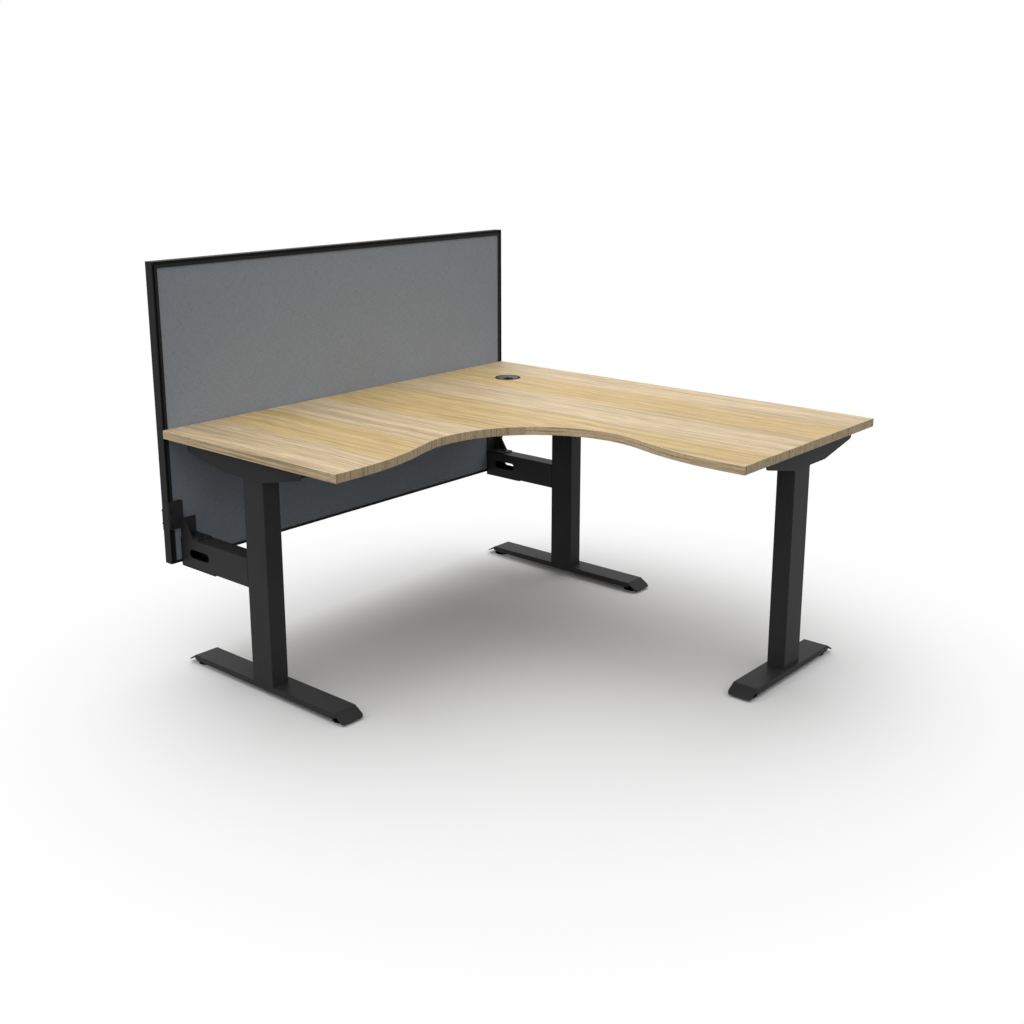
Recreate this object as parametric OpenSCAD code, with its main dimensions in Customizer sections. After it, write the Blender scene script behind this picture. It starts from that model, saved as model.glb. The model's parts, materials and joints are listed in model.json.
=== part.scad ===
// Corner workstation: an L-shaped worktop with a waved inner edge on three
// rectangular columns with flat feet, with a fabric screen carried on two arms.
// The back corner of the worktop is the corner of both wings. The right wing
// runs along +X and the left wing along -Y. Lengths are in millimetres.

/* [Worktop] */
// Length of the right wing, from the back corner to its end
wing_x = 1500; // [1440:10:1800]
// Length of the left wing, from the back corner to its end
wing_y = 1500; // [1440:10:1800]
// Depth of each wing at its end
wing_depth = 750; // [720:5:800]
// How far the waist, beside the sitting corner, is set back from that depth
waist_drop = 75; // [50:5:110]
// Radius of the sitting corner
sit_radius = 335; // [300:5:350]
// Length of the straight edge between the wave and a wing's end
wave_end = 80; // [20:5:100]
// Thickness of the board
top_t = 25; // [19:1:30]
// Height of the worktop's surface above the floor
top_height = 736; // [720:1:780]
// Thickness of the edge bands
band_t = 2; // [1:0.5:3]

/* [Cable outlet] */
// Distance of the outlet's axis from both back edges
outlet_inset = 231; // [180:1:260]
// Diameter of the hole in the board
outlet_hole = 80; // [60:1:90]
// Width of the liner's flange beyond the hole
outlet_lip = 5; // [3:0.5:10]
// Width of the notch that the cables pass through
notch_w = 34; // [20:1:34]

/* [Columns] */
// Long side of a column, along its foot
tube_w = 90; // [70:1:110]
// Short side of a column
tube_d = 58; // [50:1:70]
// Wall of the columns and arms
tube_wall = 2.5; // [2:0.5:4]
// Outer corner radius of the columns and arms
tube_r = 3; // [3:0.5:6]
// Distance of the left and corner columns from the screen's side, to their middle
column_x = 360; // [340:5:400]
// Distance from the left wing's end to the left column's outer face
left_inset = 37; // [30:1:80]
// Distance from the back edge to the corner column's front face
corner_front = 86; // [80:1:120]
// Distance from the right wing's end to the right column's middle
right_inset = 74; // [60:1:120]
// Distance from the back edge to the right column's middle
right_back = 348; // [330:1:380]
// Thickness of the plates welded into the column ends
end_plate_t = 6; // [4:1:8]

/* [Feet] */
// Length of the left and corner feet
long_foot = 702; // [600:2:720]
// Length of the right foot
short_foot = 498; // [440:2:560]
// Width of a foot
foot_w = 80; // [70:1:100]
// Height of a foot's top face above the floor
foot_z = 32; // [31:1:38]
// Thickness of the feet's sheet
foot_t = 3; // [2:0.5:4]
// Height of the feet's side skirts
skirt_h = 17.5; // [12:0.5:19]
// Length of the sloped lip at each end of a foot
lip_run = 38; // [30:1:50]
// Drop of the sloped lip
lip_drop = 23; // [15:1:24]
// Corner radius of the lips
lip_r = 12; // [6:1:20]
// Distance that the long feet reach back past their column's middle
long_foot_shift = -9; // [-20:1:20]
// Distance that the short foot reaches forward past its column's middle
short_foot_shift = 4; // [-20:1:20]

/* [Glides] */
// Diameter of a glide's pad
pad_d = 60; // [50:1:64]
// Height of a glide's pad
pad_h = 7; // [6:0.5:8]
// Diameter of a glide's stud
stud_d = 10; // [8:1:12]
// Distance from a foot's tip to the glide's axis
glide_inset = 46; // [46:1:60]
// Height of the threaded bush under the foot's plate
bush_h = 14; // [12:1:15]

/* [Top brackets] */
// Length of a bracket under the worktop
bracket_l = 504; // [440:2:540]
// Depth of a bracket at the column
bracket_h = 68; // [60:1:90]
// Depth of a bracket at its tips
bracket_tip_h = 36; // [25:1:45]
// Length of a bracket's deep middle
bracket_flat = 180; // [180:2:220]
// Thickness of the brackets' sheet
bracket_t = 3; // [2:0.5:4]
// Distance of a bracket's middle behind its column's middle
bracket_back = 45; // [30:1:50]

/* [Rails] */
// Width of the rails between the brackets
rail_w = 30; // [25:1:40]
// Height of the rails
rail_h = 58; // [50:1:60]
// Wall of the rails
rail_wall = 2; // [1.5:0.5:3]
// Thickness of the rails' end plates
flange_t = 4; // [3:0.5:6]
// Width of the rails' end plates
flange_w = 76; // [66:1:84]

/* [Screen] */
// Height of the screen
screen_h = 900; // [860:10:1000]
// Height of the screen's lower edge above the floor
screen_z = 324; // [300:1:360]
// Thickness of the screen's frame
screen_t = 30; // [28:1:40]
// Width of the frame's bars
bar_w = 18.5; // [17:0.5:25]
// Width of the frame's bottom bar
bottom_bar_w = 8; // [7:0.5:12]
// Thickness of the fabric skins
skin_t = 2; // [1:0.5:3]
// Depth of the fabric's face behind the frame's face
skin_back = 2; // [1.5:0.5:6]

/* [Screen arms] */
// Height of an arm
arm_h = 88; // [80:1:100]
// Height of an arm's underside above the floor
arm_z = 316; // [300:1:340]
// Length of the slot in an arm
slot_l = 94; // [60:1:110]
// Height of the slot in an arm
slot_h = 27; // [20:1:34]
// Distance from the screen to the slot
slot_x = 41; // [36:1:60]
// Length of the plate under an arm
arm_plate_l = 161; // [120:1:200]
// Thickness of the plate under an arm
arm_plate_t = 3; // [2:0.5:5]
// Thickness of the cap on an arm's end
arm_cap_t = 3; // [2:0.5:5]

/* [Screen brackets] */
// Thickness of the brackets' plates
clip_t = 4; // [3:0.5:5]
// Width of the brackets across the arm
clip_w = 52; // [46:1:56]
// Length of a bracket's base plate along the arm
clip_base = 80; // [70:1:100]
// Height of a bracket's upright plate above the arm
clip_up = 55; // [40:1:70]
// Width of the tab that holds the screen's frame
tab_w = 48; // [40:1:60]
// Height of the tab
tab_h = 87; // [70:1:100]
// Height of the tab's lower edge above the arm
tab_z = 27; // [20:1:40]
// Height of the rear clamp plate
rear_h = 74; // [60:1:90]
// Height of the rear clamp plate's lower edge above the arm
rear_z = 17; // [10:1:30]

/* [Hidden] */
$fn = 48;

// Colours of the finishes
oak = "#d9c4a0";
oak_edge = "#b5a58c";
coated_steel = "#3b3c3e";
zinc = "#a9acb0";
black_steel = "#242426";
alu = "#b9bbbd";
black_plastic = "#1c1c1e";
outlet_grey = "#55585c";
cloth = "#70767b";
board_brown = "#a98b62";

// Shared clearances
slack = 0.05;
touch = 0.3;
eps = 0.5;

// Heights
under_top = top_height - top_t;
plate_z = foot_z - foot_t;
cap_z = under_top - bracket_h;

// Fasteners: [shank radius, head radius, head height]
wood_screw = [2.25, 4.5, 3];
m8 = [4, 7.5, 5.3];
m6 = [3, 5.7, 4];
m5 = [2.5, 4.5, 3];
screw_depth = 18;
screw_tip = 32;
screw_mid = 40;
screw_off = 14.5;
nut_h = 4;

// The origin stands on the floor under the middle of the outer box
reach_back = screen_t + clip_t + nut_h;
mid = [(wing_x - reach_back) / 2, -wing_y / 2];

// Places of the three columns
left_y = -(wing_y - left_inset - tube_d / 2);
corner_y = -(corner_front - tube_d / 2);
foot_side = (foot_w - tube_d) / 2;
// Each leg: middle x, middle y, turn, foot length, foot shift along and across,
// side of the bracket that the rail is bolted to
LEFT = [column_x, left_y, 0, long_foot, long_foot_shift, foot_side, 1];
CORNER = [column_x, corner_y, 0, long_foot, long_foot_shift, foot_side, -1];
RIGHT = [wing_x - right_inset, -right_back, -90, short_foot, short_foot_shift, 0, -1];
LEGS = [LEFT, CORNER, RIGHT];
column_bolt_x = tube_w / 3;

// Worktop outline: the waist is where the sitting corner runs along a wing, and
// a wave of two tangent arcs leads from it to the full depth
waist_s = wing_depth - waist_drop + sit_radius;
wave_x = wing_x - wave_end - waist_s;
wave_y = wing_y - wave_end - waist_s;
arc_step = 3;

// Cable outlet
outlet_r = outlet_hole / 2;
outlet_wall = 2.3;
outlet_in = outlet_r - 0.2 - outlet_wall;
outlet_at = [outlet_inset, -outlet_inset];
rebate_h = 1;
flange_z = top_height - rebate_h;
notch_turn = -45;
notch_x = 24;
flange_h = 2;
ledge_z = top_height - 5.5;
ledge_t = 1.5;
ledge_w = 3;
cover_t = 2.5;
cover_top = flange_z + flange_h;
cover_in = outlet_in - touch - 2.3;
shutter_t = 2;
pivot_r = 3;
knob_r = 5;
knob_h = 1.7;

// Glides
stud_seat = 3;
pad_rim = 4;
bush_r = stud_d / 2 + 3;
hex_r = stud_d / 2 + 4.5;
hex_h = 4;

// Rails
rail_z = under_top - (bracket_h + rail_h) / 2 + 1;
rail_x = column_x - bracket_back;
rail_y = -(right_back - bracket_back);
flange_bolt = flange_w / 2 - 10;

// Screen
screen_l = wing_y;
groove_x0 = 2.5;
groove_x1 = bar_w / 2 + 0.25;
groove_in = 6;
slot_in = groove_x1 + 3;
panel_gap = 0.2;
panel_edge = slot_in + panel_gap;
key_x = (groove_x0 + groove_x1) / 2;
chamber_w = 5.5;
chamber_d = screen_t - 16;
chamber = [key_x - chamber_w / 2, key_x + chamber_w / 2];
// The bottom bar's chamber ends where its mitre meets the stile's chamber, so the keys pass
low_chamber = [1.8, chamber[1] * bottom_bar_w / bar_w];
low_slot = bottom_bar_w - 2.8;
// Width, start of the panel's slot, chamber and whether there are grooves
SIDE_BAR = [bar_w, slot_in, chamber, true];
BOTTOM_BAR = [bottom_bar_w, low_slot, low_chamber, false];
key_l = 40;
tab_gap = 1;
tab_r = 8;

// Arms
arm_x1 = column_x - tube_w / 2;
arm_top = arm_z + arm_h;
arm_bolts_x = [22, 62];
gusset_flat = 18;
gusset_foot = 54;
clamp_bolts_z = [arm_top + tab_z + 14, arm_top + rear_z + rear_h - 10];

// Moves a piece from the back corner's frame to the part's own frame
module desk() translate([-mid[0], -mid[1], 0]) children();

// Moves a piece from a leg's own frame, with x along its foot, to its place
module at_leg(leg) desk() translate([leg[0], leg[1], 0]) rotate([0, 0, leg[2]]) children();

// Rectangle with round corners, centred
module round_rect(w, d, r) {
    square([w - 2 * r, d], center = true);
    square([w, d - 2 * r], center = true);
    for (sx = [-1, 1], sy = [-1, 1])
        translate([sx * (w / 2 - r), sy * (d / 2 - r)]) circle(r);
}

// Hollow rectangular section, centred
module tube_section(w, d, wall, r) difference() {
    round_rect(w, d, r);
    round_rect(w - 2 * wall, d - 2 * wall, max(r - wall, 0.5));
}

// Bolt along +Z with its head below z = 0
module bolt(kind, length, sides = 6) {
    cylinder(r = kind[0], h = length);
    translate([0, 0, -kind[2]]) cylinder(r = kind[1], h = kind[2], $fn = sides);
}

// Nut on +Z from z = 0
module nut(kind, height) difference() {
    cylinder(r = kind[1], h = height, $fn = 6);
    translate([0, 0, -eps]) cylinder(r = kind[0] + slack, h = height + 2 * eps);
}

// Points of an arc
function arc(c, r, a0, a1) =
    let (n = ceil(abs(a1 - a0) / arc_step))
    [for (i = [0:n]) let (a = a0 + (a1 - a0) * i / n) [c[0] + r * cos(a), c[1] + r * sin(a)]];

// Turn and outer radius of a wave of the given length
function wave_angle(run) = 2 * atan(waist_drop / run);
function wave_r(run) = run / sin(wave_angle(run)) - sit_radius;

// The worktop's inner edge, set in by e, from the left wing's end to the right wing's end
function inner_edge(e) = let (rx = wave_r(wave_x), ry = wave_r(wave_y)) concat(
    [[wing_depth - e, -(wing_y - e)]],
    arc([wing_depth - ry, -(wing_y - wave_end)], ry - e, 0, wave_angle(wave_y)),
    arc([waist_s, -waist_s], sit_radius + e, 180 + wave_angle(wave_y), 90 - wave_angle(wave_x)),
    arc([wing_x - wave_end, -(wing_depth - rx)], rx - e, -90 - wave_angle(wave_x), -90),
    [[wing_x - e, -(wing_depth - e)]]);

function backwards(list) = [for (i = [len(list) - 1:-1:0]) list[i]];

// Places of the screws in a top bracket, in its leg's frame
function screw_places() = [for (side = [-1, 1], pair = [0, 1])
    [side * (pair == 0 ? bracket_l / 2 - screw_tip : bracket_flat / 2 + screw_mid) - bracket_back,
        (pair == 0 ? 1 : -1) * screw_off]];

module top_board(points) translate([0, 0, under_top]) linear_extrude(top_t) polygon(points);

// Worktop

module worktop_core() color(oak) difference() {
    desk() difference() {
        top_board(concat([[band_t, -band_t]], [[band_t, -(wing_y - band_t)]],
            inner_edge(band_t), [[wing_x - band_t, -band_t]]));
        translate([outlet_at[0], outlet_at[1], under_top - eps])
            cylinder(r = outlet_r, h = top_t + 2 * eps, $fn = 96);
        translate([outlet_at[0], outlet_at[1], flange_z])
            cylinder(r = outlet_r + outlet_lip + touch, h = rebate_h + eps, $fn = 96);
    }
    for (leg = LEGS) at_leg(leg) for (p = screw_places())
        translate([p[0], p[1], under_top - eps])
            cylinder(r = wood_screw[0] + slack, h = screw_depth + 2 * eps);
}

module inner_edge_band() desk() color(oak_edge)
    top_board(concat(inner_edge(0), backwards(inner_edge(band_t))));

module left_end_band() desk() color(oak_edge) top_board([
    [0, -wing_y], [wing_depth, -wing_y],
    [wing_depth - band_t, -(wing_y - band_t)], [band_t, -(wing_y - band_t)]]);

module right_end_band() desk() color(oak_edge) top_board([
    [wing_x, 0], [wing_x, -wing_depth],
    [wing_x - band_t, -(wing_depth - band_t)], [wing_x - band_t, -band_t]]);

module screen_side_band() desk() color(oak_edge) top_board([
    [0, 0], [band_t, -band_t], [band_t, -(wing_y - band_t)], [0, -wing_y]]);

module back_edge_band() desk() color(oak_edge) top_board([
    [0, 0], [wing_x, 0], [wing_x - band_t, -band_t], [band_t, -band_t]]);

// Cable outlet

module at_outlet() desk() translate([outlet_at[0], outlet_at[1], 0]) children();

module notch(z, h) rotate([0, 0, notch_turn]) translate([0, 0, z]) {
    translate([notch_x, 0, 0]) cylinder(r = notch_w / 2, h = h);
    translate([notch_x, -notch_w / 2, 0]) cube([outlet_r, notch_w, h]);
}

module grommet_liner() at_outlet() color(outlet_grey) rotate_extrude($fn = 96) polygon([
    [outlet_in, under_top + 3], [outlet_r - 0.2, under_top + 3],
    [outlet_r - 0.2, flange_z], [outlet_r + outlet_lip, flange_z],
    [outlet_r + outlet_lip, cover_top - 0.8], [outlet_r + outlet_lip - 0.8, cover_top],
    [outlet_in, cover_top], [outlet_in, ledge_z],
    [outlet_in - ledge_w, ledge_z], [outlet_in - ledge_w, ledge_z - ledge_t],
    [outlet_in, ledge_z - ledge_t - ledge_w]]);

module grommet_cover() at_outlet() color(outlet_grey) difference() {
    union() {
        translate([0, 0, cover_top - cover_t]) cylinder(r = outlet_in - touch, h = cover_t, $fn = 96);
        translate([0, 0, ledge_z]) difference() {
            cylinder(r = outlet_in - touch, h = cover_top - cover_t - ledge_z + eps, $fn = 96);
            translate([0, 0, -eps])
                cylinder(r = cover_in, h = cover_top - cover_t - ledge_z + eps, $fn = 96);
        }
    }
    notch(ledge_z - eps, cover_top - ledge_z + 2 * eps);
    translate([0, 0, ledge_z - eps]) cylinder(r = pivot_r + slack, h = cover_top - ledge_z + 2 * eps);
}

module grommet_shutter() at_outlet() color(outlet_grey) {
    shutter_z = cover_top - cover_t - touch - shutter_t;
    difference() {
        translate([0, 0, shutter_z]) cylinder(r = cover_in - touch, h = shutter_t, $fn = 96);
        notch(shutter_z - eps, shutter_t + 2 * eps);
    }
    translate([0, 0, shutter_z]) cylinder(r = pivot_r, h = cover_top + touch + knob_h - shutter_z);
    translate([0, 0, cover_top + touch]) cylinder(r = knob_r, h = knob_h);
}

// Top brackets

module bracket_side() rotate([90, 0, 0]) linear_extrude(bracket_t, center = true) {
    tip_r = 10;
    hull() {
        for (sx = [-1, 1]) {
            translate([sx * (bracket_l / 2 - tip_r), -bracket_tip_h + tip_r]) circle(tip_r, $fn = 24);
            translate([sx * bracket_flat / 2 - 0.5, -bracket_h]) square([1, bracket_h]);
        }
        translate([-bracket_l / 2, -bracket_t]) square([bracket_l, bracket_t]);
    }
}

module top_bracket(leg) at_leg(leg) color(coated_steel) difference() {
    translate([-bracket_back, 0, under_top]) {
        for (side = [-1, 1]) translate([0, side * (tube_d - bracket_t) / 2, 0]) bracket_side();
        translate([-bracket_l / 2, -tube_d / 2, -bracket_t]) cube([bracket_l, tube_d, bracket_t]);
        translate([-bracket_flat / 2, -tube_d / 2, -bracket_h])
            cube([bracket_flat, tube_d, bracket_t]);
    }
    for (p = screw_places()) translate([p[0], p[1], under_top - bracket_t - eps])
        cylinder(r = wood_screw[0] + 0.3, h = bracket_t + 2 * eps);
    for (sx = [-1, 1]) translate([sx * column_bolt_x, 0, cap_z - eps])
        cylinder(r = m8[0] + 0.5, h = bracket_t + 2 * eps);
    for (sx = [-1, 1])
        translate([sx * flange_bolt - bracket_back, leg[6] * (tube_d - bracket_t) / 2, rail_z + rail_h / 2])
            rotate([90, 0, 0]) cylinder(r = m6[0] + 0.3, h = bracket_t + 2 * eps, center = true);
}

module left_top_bracket() top_bracket(LEFT);
module corner_top_bracket() top_bracket(CORNER);
module right_top_bracket() top_bracket(RIGHT);

// Columns

module column(leg) at_leg(leg) color(coated_steel)
    translate([0, 0, foot_z]) linear_extrude(cap_z - foot_z)
        tube_section(tube_w, tube_d, tube_wall, tube_r);

module left_column() column(LEFT);
module corner_column() column(CORNER);
module right_column() column(RIGHT);

module end_plates(z) color(zinc) for (leg = LEGS) at_leg(leg) translate([0, 0, z])
    linear_extrude(end_plate_t) difference() {
        round_rect(tube_w - 2 * tube_wall - 0.2, tube_d - 2 * tube_wall - 0.2, 1);
        for (sx = [-1, 1]) translate([sx * column_bolt_x, 0]) circle(m8[0] + slack);
    }

module column_base_plates() end_plates(foot_z);
module column_cap_plates() end_plates(cap_z - end_plate_t);

module column_bolts() color(zinc) for (leg = LEGS) at_leg(leg) for (sx = [-1, 1]) {
    translate([sx * column_bolt_x, 0, plate_z]) bolt(m8, foot_t + end_plate_t + 2);
    translate([sx * column_bolt_x, 0, cap_z + bracket_t]) rotate([180, 0, 0])
        bolt(m8, bracket_t + end_plate_t + 2);
}

// Feet

module foot_lip_profile(l) {
    angle = atan(lip_drop / lip_run);
    fold = foot_t * tan(angle / 2);
    polygon([
        [-l / 2, foot_z - lip_drop], [-l / 2 + lip_run, foot_z],
        [l / 2 - lip_run, foot_z], [l / 2, foot_z - lip_drop],
        [l / 2 - foot_t * sin(angle), foot_z - lip_drop - foot_t * cos(angle)],
        [l / 2 - lip_run - fold, plate_z], [-l / 2 + lip_run + fold, plate_z],
        [-l / 2 + foot_t * sin(angle), foot_z - lip_drop - foot_t * cos(angle)]]);
}

module foot_skirt_profile(l) {
    end_x = l / 2 - lip_run * 0.7;
    end_z = foot_z - lip_drop * 0.3;
    low_x = l / 2 - lip_run - 4;
    polygon([[-end_x, end_z], [-l / 2 + lip_run, foot_z], [l / 2 - lip_run, foot_z],
        [end_x, end_z], [low_x, foot_z - skirt_h], [-low_x, foot_z - skirt_h]]);
}

module foot(leg) at_leg(leg) color(coated_steel) difference() {
    translate([leg[4], leg[5], 0]) {
        intersection() {
            rotate([90, 0, 0]) linear_extrude(foot_w, center = true) foot_lip_profile(leg[3]);
            linear_extrude(foot_z + 1) round_rect(leg[3], foot_w, lip_r);
        }
        for (side = [-1, 1]) translate([0, side * (foot_w - foot_t) / 2, 0])
            rotate([90, 0, 0]) linear_extrude(foot_t, center = true) foot_skirt_profile(leg[3]);
    }
    for (sx = [-1, 1]) translate([sx * column_bolt_x, 0, plate_z - eps])
        cylinder(r = m8[0] + 0.5, h = foot_t + 2 * eps);
}

module left_foot() foot(LEFT);
module corner_foot() foot(CORNER);
module right_foot() foot(RIGHT);

// Glides: side -1 is the end at the back of a foot and +1 the end at its front

module at_glide(leg, side) at_leg(leg)
    translate([leg[4] + side * (leg[3] / 2 - glide_inset), leg[5], 0]) children();

module glide_pad(leg, side) at_glide(leg, side) color(black_plastic) difference() {
    rotate_extrude($fn = 64) polygon([
        [0, 0], [pad_d / 2 - 1, 0], [pad_d / 2, 1], [pad_d / 2, pad_rim],
        [pad_d / 3, pad_h], [0, pad_h]]);
    translate([0, 0, stud_seat]) cylinder(r = stud_d / 2 + slack, h = pad_h);
}

module glide_stud(leg, side) at_glide(leg, side) color(zinc) {
    translate([0, 0, stud_seat]) cylinder(r = stud_d / 2, h = plate_z - touch - stud_seat);
    translate([0, 0, pad_h + touch]) cylinder(r = hex_r, h = hex_h, $fn = 6);
}

module glide_bushes() color(zinc) for (leg = LEGS, side = [-1, 1]) at_glide(leg, side)
    translate([0, 0, plate_z - bush_h]) difference() {
        cylinder(r = bush_r, h = bush_h);
        translate([0, 0, -eps]) cylinder(r = stud_d / 2 + slack, h = bush_h + 2 * eps);
    }

// Rails under the worktop

module rail_tube(length) rotate([90, 0, 90]) linear_extrude(length)
    tube_section(rail_w, rail_h, rail_wall, 3);

module left_rail() {
    y0 = left_y + tube_d / 2 + flange_t;
    y1 = corner_y - tube_d / 2 - flange_t;
    desk() color(coated_steel) difference() {
        translate([rail_x, y0, rail_z + rail_h / 2]) rotate([0, 0, 90]) rail_tube(y1 - y0);
        for (sy = [-1, 1])
            translate([rail_x + rail_w / 2, rail_y + sy * flange_bolt, rail_z + rail_h / 2])
                rotate([0, 90, 0]) cylinder(r = m6[0] + 0.3, h = 2 * rail_wall + 2 * eps, center = true);
    }
}

module right_rail() {
    x0 = rail_x + rail_w / 2 + flange_t;
    x1 = wing_x - right_inset - tube_d / 2 - flange_t;
    desk() color(coated_steel)
        translate([x0, rail_y, rail_z + rail_h / 2]) rail_tube(x1 - x0);
}

// The four ends of the rails: x, y, turn, where +X of the turned frame points along the rail
RAIL_ENDS = [
    [rail_x, left_y + tube_d / 2, 90],
    [rail_x, corner_y - tube_d / 2, -90],
    [rail_x + rail_w / 2, rail_y, 0],
    [wing_x - right_inset - tube_d / 2, rail_y, 180]
];

module at_rail_end(e) desk() translate([e[0], e[1], rail_z + rail_h / 2]) rotate([0, 0, e[2]]) children();

module rail_end_plates() color(coated_steel) for (e = RAIL_ENDS) at_rail_end(e) difference() {
    translate([0, -flange_w / 2, -rail_h / 2]) cube([flange_t, flange_w, rail_h]);
    for (sy = [-1, 1]) translate([-eps, sy * flange_bolt, 0]) rotate([0, 90, 0])
        cylinder(r = m6[0] + 0.3, h = flange_t + 2 * eps);
}

module rail_bolts() color(zinc) for (e = RAIL_ENDS) at_rail_end(e) for (sy = [-1, 1])
    translate([flange_t, sy * flange_bolt, 0]) rotate([0, -90, 0]) bolt(m6, flange_t + bracket_t + 6);

module worktop_screws() color(zinc) for (leg = LEGS) at_leg(leg) for (p = screw_places())
    translate([p[0], p[1], under_top - bracket_t])
        bolt(wood_screw, bracket_t + screw_depth, sides = 24);

// Arms that carry the screen: side -1 is the left arm and +1 the corner arm

function arm_y(side) = side < 0 ? left_y : corner_y;
function screen_end(side) = side < 0 ? -screen_l : 0;

module slot_cut(h) for (i = [0, 1])
    translate([slot_x + slot_h / 2 + i * (slot_l - slot_h), 0, 0]) cylinder(r = slot_h / 2, h = h, center = true);

module arm(side) desk() translate([0, arm_y(side), arm_z + arm_h / 2]) color(coated_steel) difference() {
    translate([arm_cap_t, 0, 0]) rotate([90, 0, 90]) linear_extrude(arm_x1 - arm_cap_t)
        tube_section(tube_d, arm_h, tube_wall, tube_r);
    rotate([90, 0, 0]) {
        slot_cut(tube_d + 2 * eps);
        translate([slot_x + slot_h / 2, -slot_h / 2, -tube_d / 2 - eps])
            cube([slot_l - slot_h, slot_h, tube_d + 2 * eps]);
    }
    for (x = arm_bolts_x) translate([x, 0, 0]) cylinder(r = m8[0] + 0.5, h = arm_h + 2 * eps, center = true);
}

module left_arm() arm(-1);
module corner_arm() arm(1);

module arm_end_caps() color(black_plastic) for (side = [-1, 1]) desk()
    translate([0, arm_y(side), arm_z + arm_h / 2]) rotate([90, 0, 90]) {
        linear_extrude(arm_cap_t) round_rect(tube_d, arm_h, tube_r);
        linear_extrude(arm_cap_t + 8)
            tube_section(tube_d - 2 * tube_wall - 0.2, arm_h - 2 * tube_wall - 0.2, 2, 1);
    }

module arm_plate(side) desk() translate([0, arm_y(side), arm_z - arm_plate_t]) color(coated_steel) difference() {
    translate([0, -tube_d / 2, 0]) cube([arm_plate_l, tube_d, arm_plate_t]);
    for (x = arm_bolts_x) translate([x, 0, -eps]) cylinder(r = m8[0] + 0.5, h = arm_plate_t + 2 * eps);
}

module left_arm_plate() arm_plate(-1);
module corner_arm_plate() arm_plate(1);

// Bolt up through a plate and one wall of an arm, into a nut welded inside the arm
module arm_bolt(plate) {
    bolt(m8, plate + tube_wall + m8[2] + 2);
    translate([0, 0, plate + tube_wall]) nut(m8, m8[2]);
}

module arm_bolts() color(black_steel) for (side = [-1, 1], x = arm_bolts_x)
    desk() translate([x, arm_y(side), 0]) {
        translate([0, 0, arm_z - arm_plate_t]) arm_bolt(arm_plate_t);
        translate([0, 0, arm_top + clip_t]) rotate([180, 0, 0]) arm_bolt(clip_t);
    }

// Clamp tab against the screen's frame, from x = 0 towards +x
module tab(side, z, h, t) {
    y_mid = screen_end(side) - side * (tab_gap + tab_w / 2);
    difference() {
        translate([0, y_mid, arm_top + z + h / 2]) rotate([90, 0, 90])
            linear_extrude(t) round_rect(tab_w, h, tab_r);
        for (bz = clamp_bolts_z) translate([-eps, screen_end(side) - side * key_x, bz])
            rotate([0, 90, 0]) cylinder(r = m5[0] + 0.2, h = t + 2 * eps);
    }
}

module screen_bracket(side) desk() color(coated_steel) {
    translate([0, arm_y(side), arm_top]) {
        difference() {
            translate([0, -clip_w / 2, 0]) cube([clip_base, clip_w, clip_t]);
            for (x = arm_bolts_x) translate([x, 0, -eps]) cylinder(r = m8[0] + 0.5, h = clip_t + 2 * eps);
        }
        translate([0, -clip_w / 2, 0]) cube([clip_t, clip_w, clip_up]);
        translate([0, side * (clip_w - clip_t) / 2, 0]) rotate([90, 0, 0])
            linear_extrude(clip_t, center = true) polygon([[0, 0], [gusset_foot, 0],
                [gusset_foot, clip_t], [gusset_flat, clip_up + 5], [0, clip_up + 5]]);
    }
    tab(side, tab_z, tab_h, clip_t);
}

module left_screen_bracket() screen_bracket(-1);
module corner_screen_bracket() screen_bracket(1);

module rear_clamp(side) desk() color(coated_steel)
    translate([-screen_t - clip_t, 0, 0]) tab(side, rear_z, rear_h, clip_t);

module left_rear_clamp() rear_clamp(-1);
module corner_rear_clamp() rear_clamp(1);

module clamp_bolts() color(black_steel) for (side = [-1, 1], z = clamp_bolts_z)
    desk() translate([clip_t, screen_end(side) - side * key_x, z]) rotate([0, -90, 0]) {
        bolt(m5, screen_t + 2 * clip_t + nut_h, sides = 24);
        translate([0, 0, screen_t + 2 * clip_t]) nut(m5, nut_h);
    }

// Screen frame: a bar's section, outer face at x = 0, with a slot for the panel on the inner side,
// a chamber for the corner keys and, on all but the bottom bar, a groove on both faces
module bar_section(bar) difference() {
    square([bar[0], screen_t]);
    if (bar[3]) for (y = [-eps, screen_t - groove_in]) translate([groove_x0, y])
        square([groove_x1 - groove_x0, groove_in + eps]);
    translate([bar[1], skin_back - panel_gap])
        square([bar[0], screen_t - 2 * (skin_back - panel_gap)]);
    translate([bar[2][0], (screen_t - chamber_d) / 2]) square([bar[2][1] - bar[2][0], chamber_d]);
}

// A bar along +Z with mitred ends, which meet bars of the given widths
module frame_bar(length, bar, meets) intersection() {
    linear_extrude(length) bar_section(bar);
    translate([0, screen_t + eps, 0]) rotate([90, 0, 0]) linear_extrude(screen_t + 2 * eps)
        polygon([[0, 0], [bar[0], meets[0]], [bar[0], length - meets[1]], [0, length]]);
}

// A stile, with the holes of its clamp bolts
module stile(side) desk() color(alu) difference() {
    translate([side < 0 ? 0 : -screen_t, screen_end(side), screen_z])
        rotate([0, 0, -side * 90]) frame_bar(screen_h, SIDE_BAR, [bottom_bar_w, bar_w]);
    for (z = clamp_bolts_z) translate([eps, screen_end(side) - side * key_x, z])
        rotate([0, -90, 0]) cylinder(r = m5[0] + 0.1, h = screen_t + 2 * eps);
}

module screen_left_bar() stile(-1);
module screen_right_bar() stile(1);
module screen_bottom_bar() desk() color(alu)
    translate([-screen_t, -screen_l, screen_z]) rotate([-90, -90, 0])
        frame_bar(screen_l, BOTTOM_BAR, [bar_w, bar_w]);
module screen_top_bar() desk() color(alu)
    translate([0, -screen_l, screen_z + screen_h]) rotate([-90, 90, 0])
        frame_bar(screen_l, SIDE_BAR, [bar_w, bar_w]);

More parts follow.
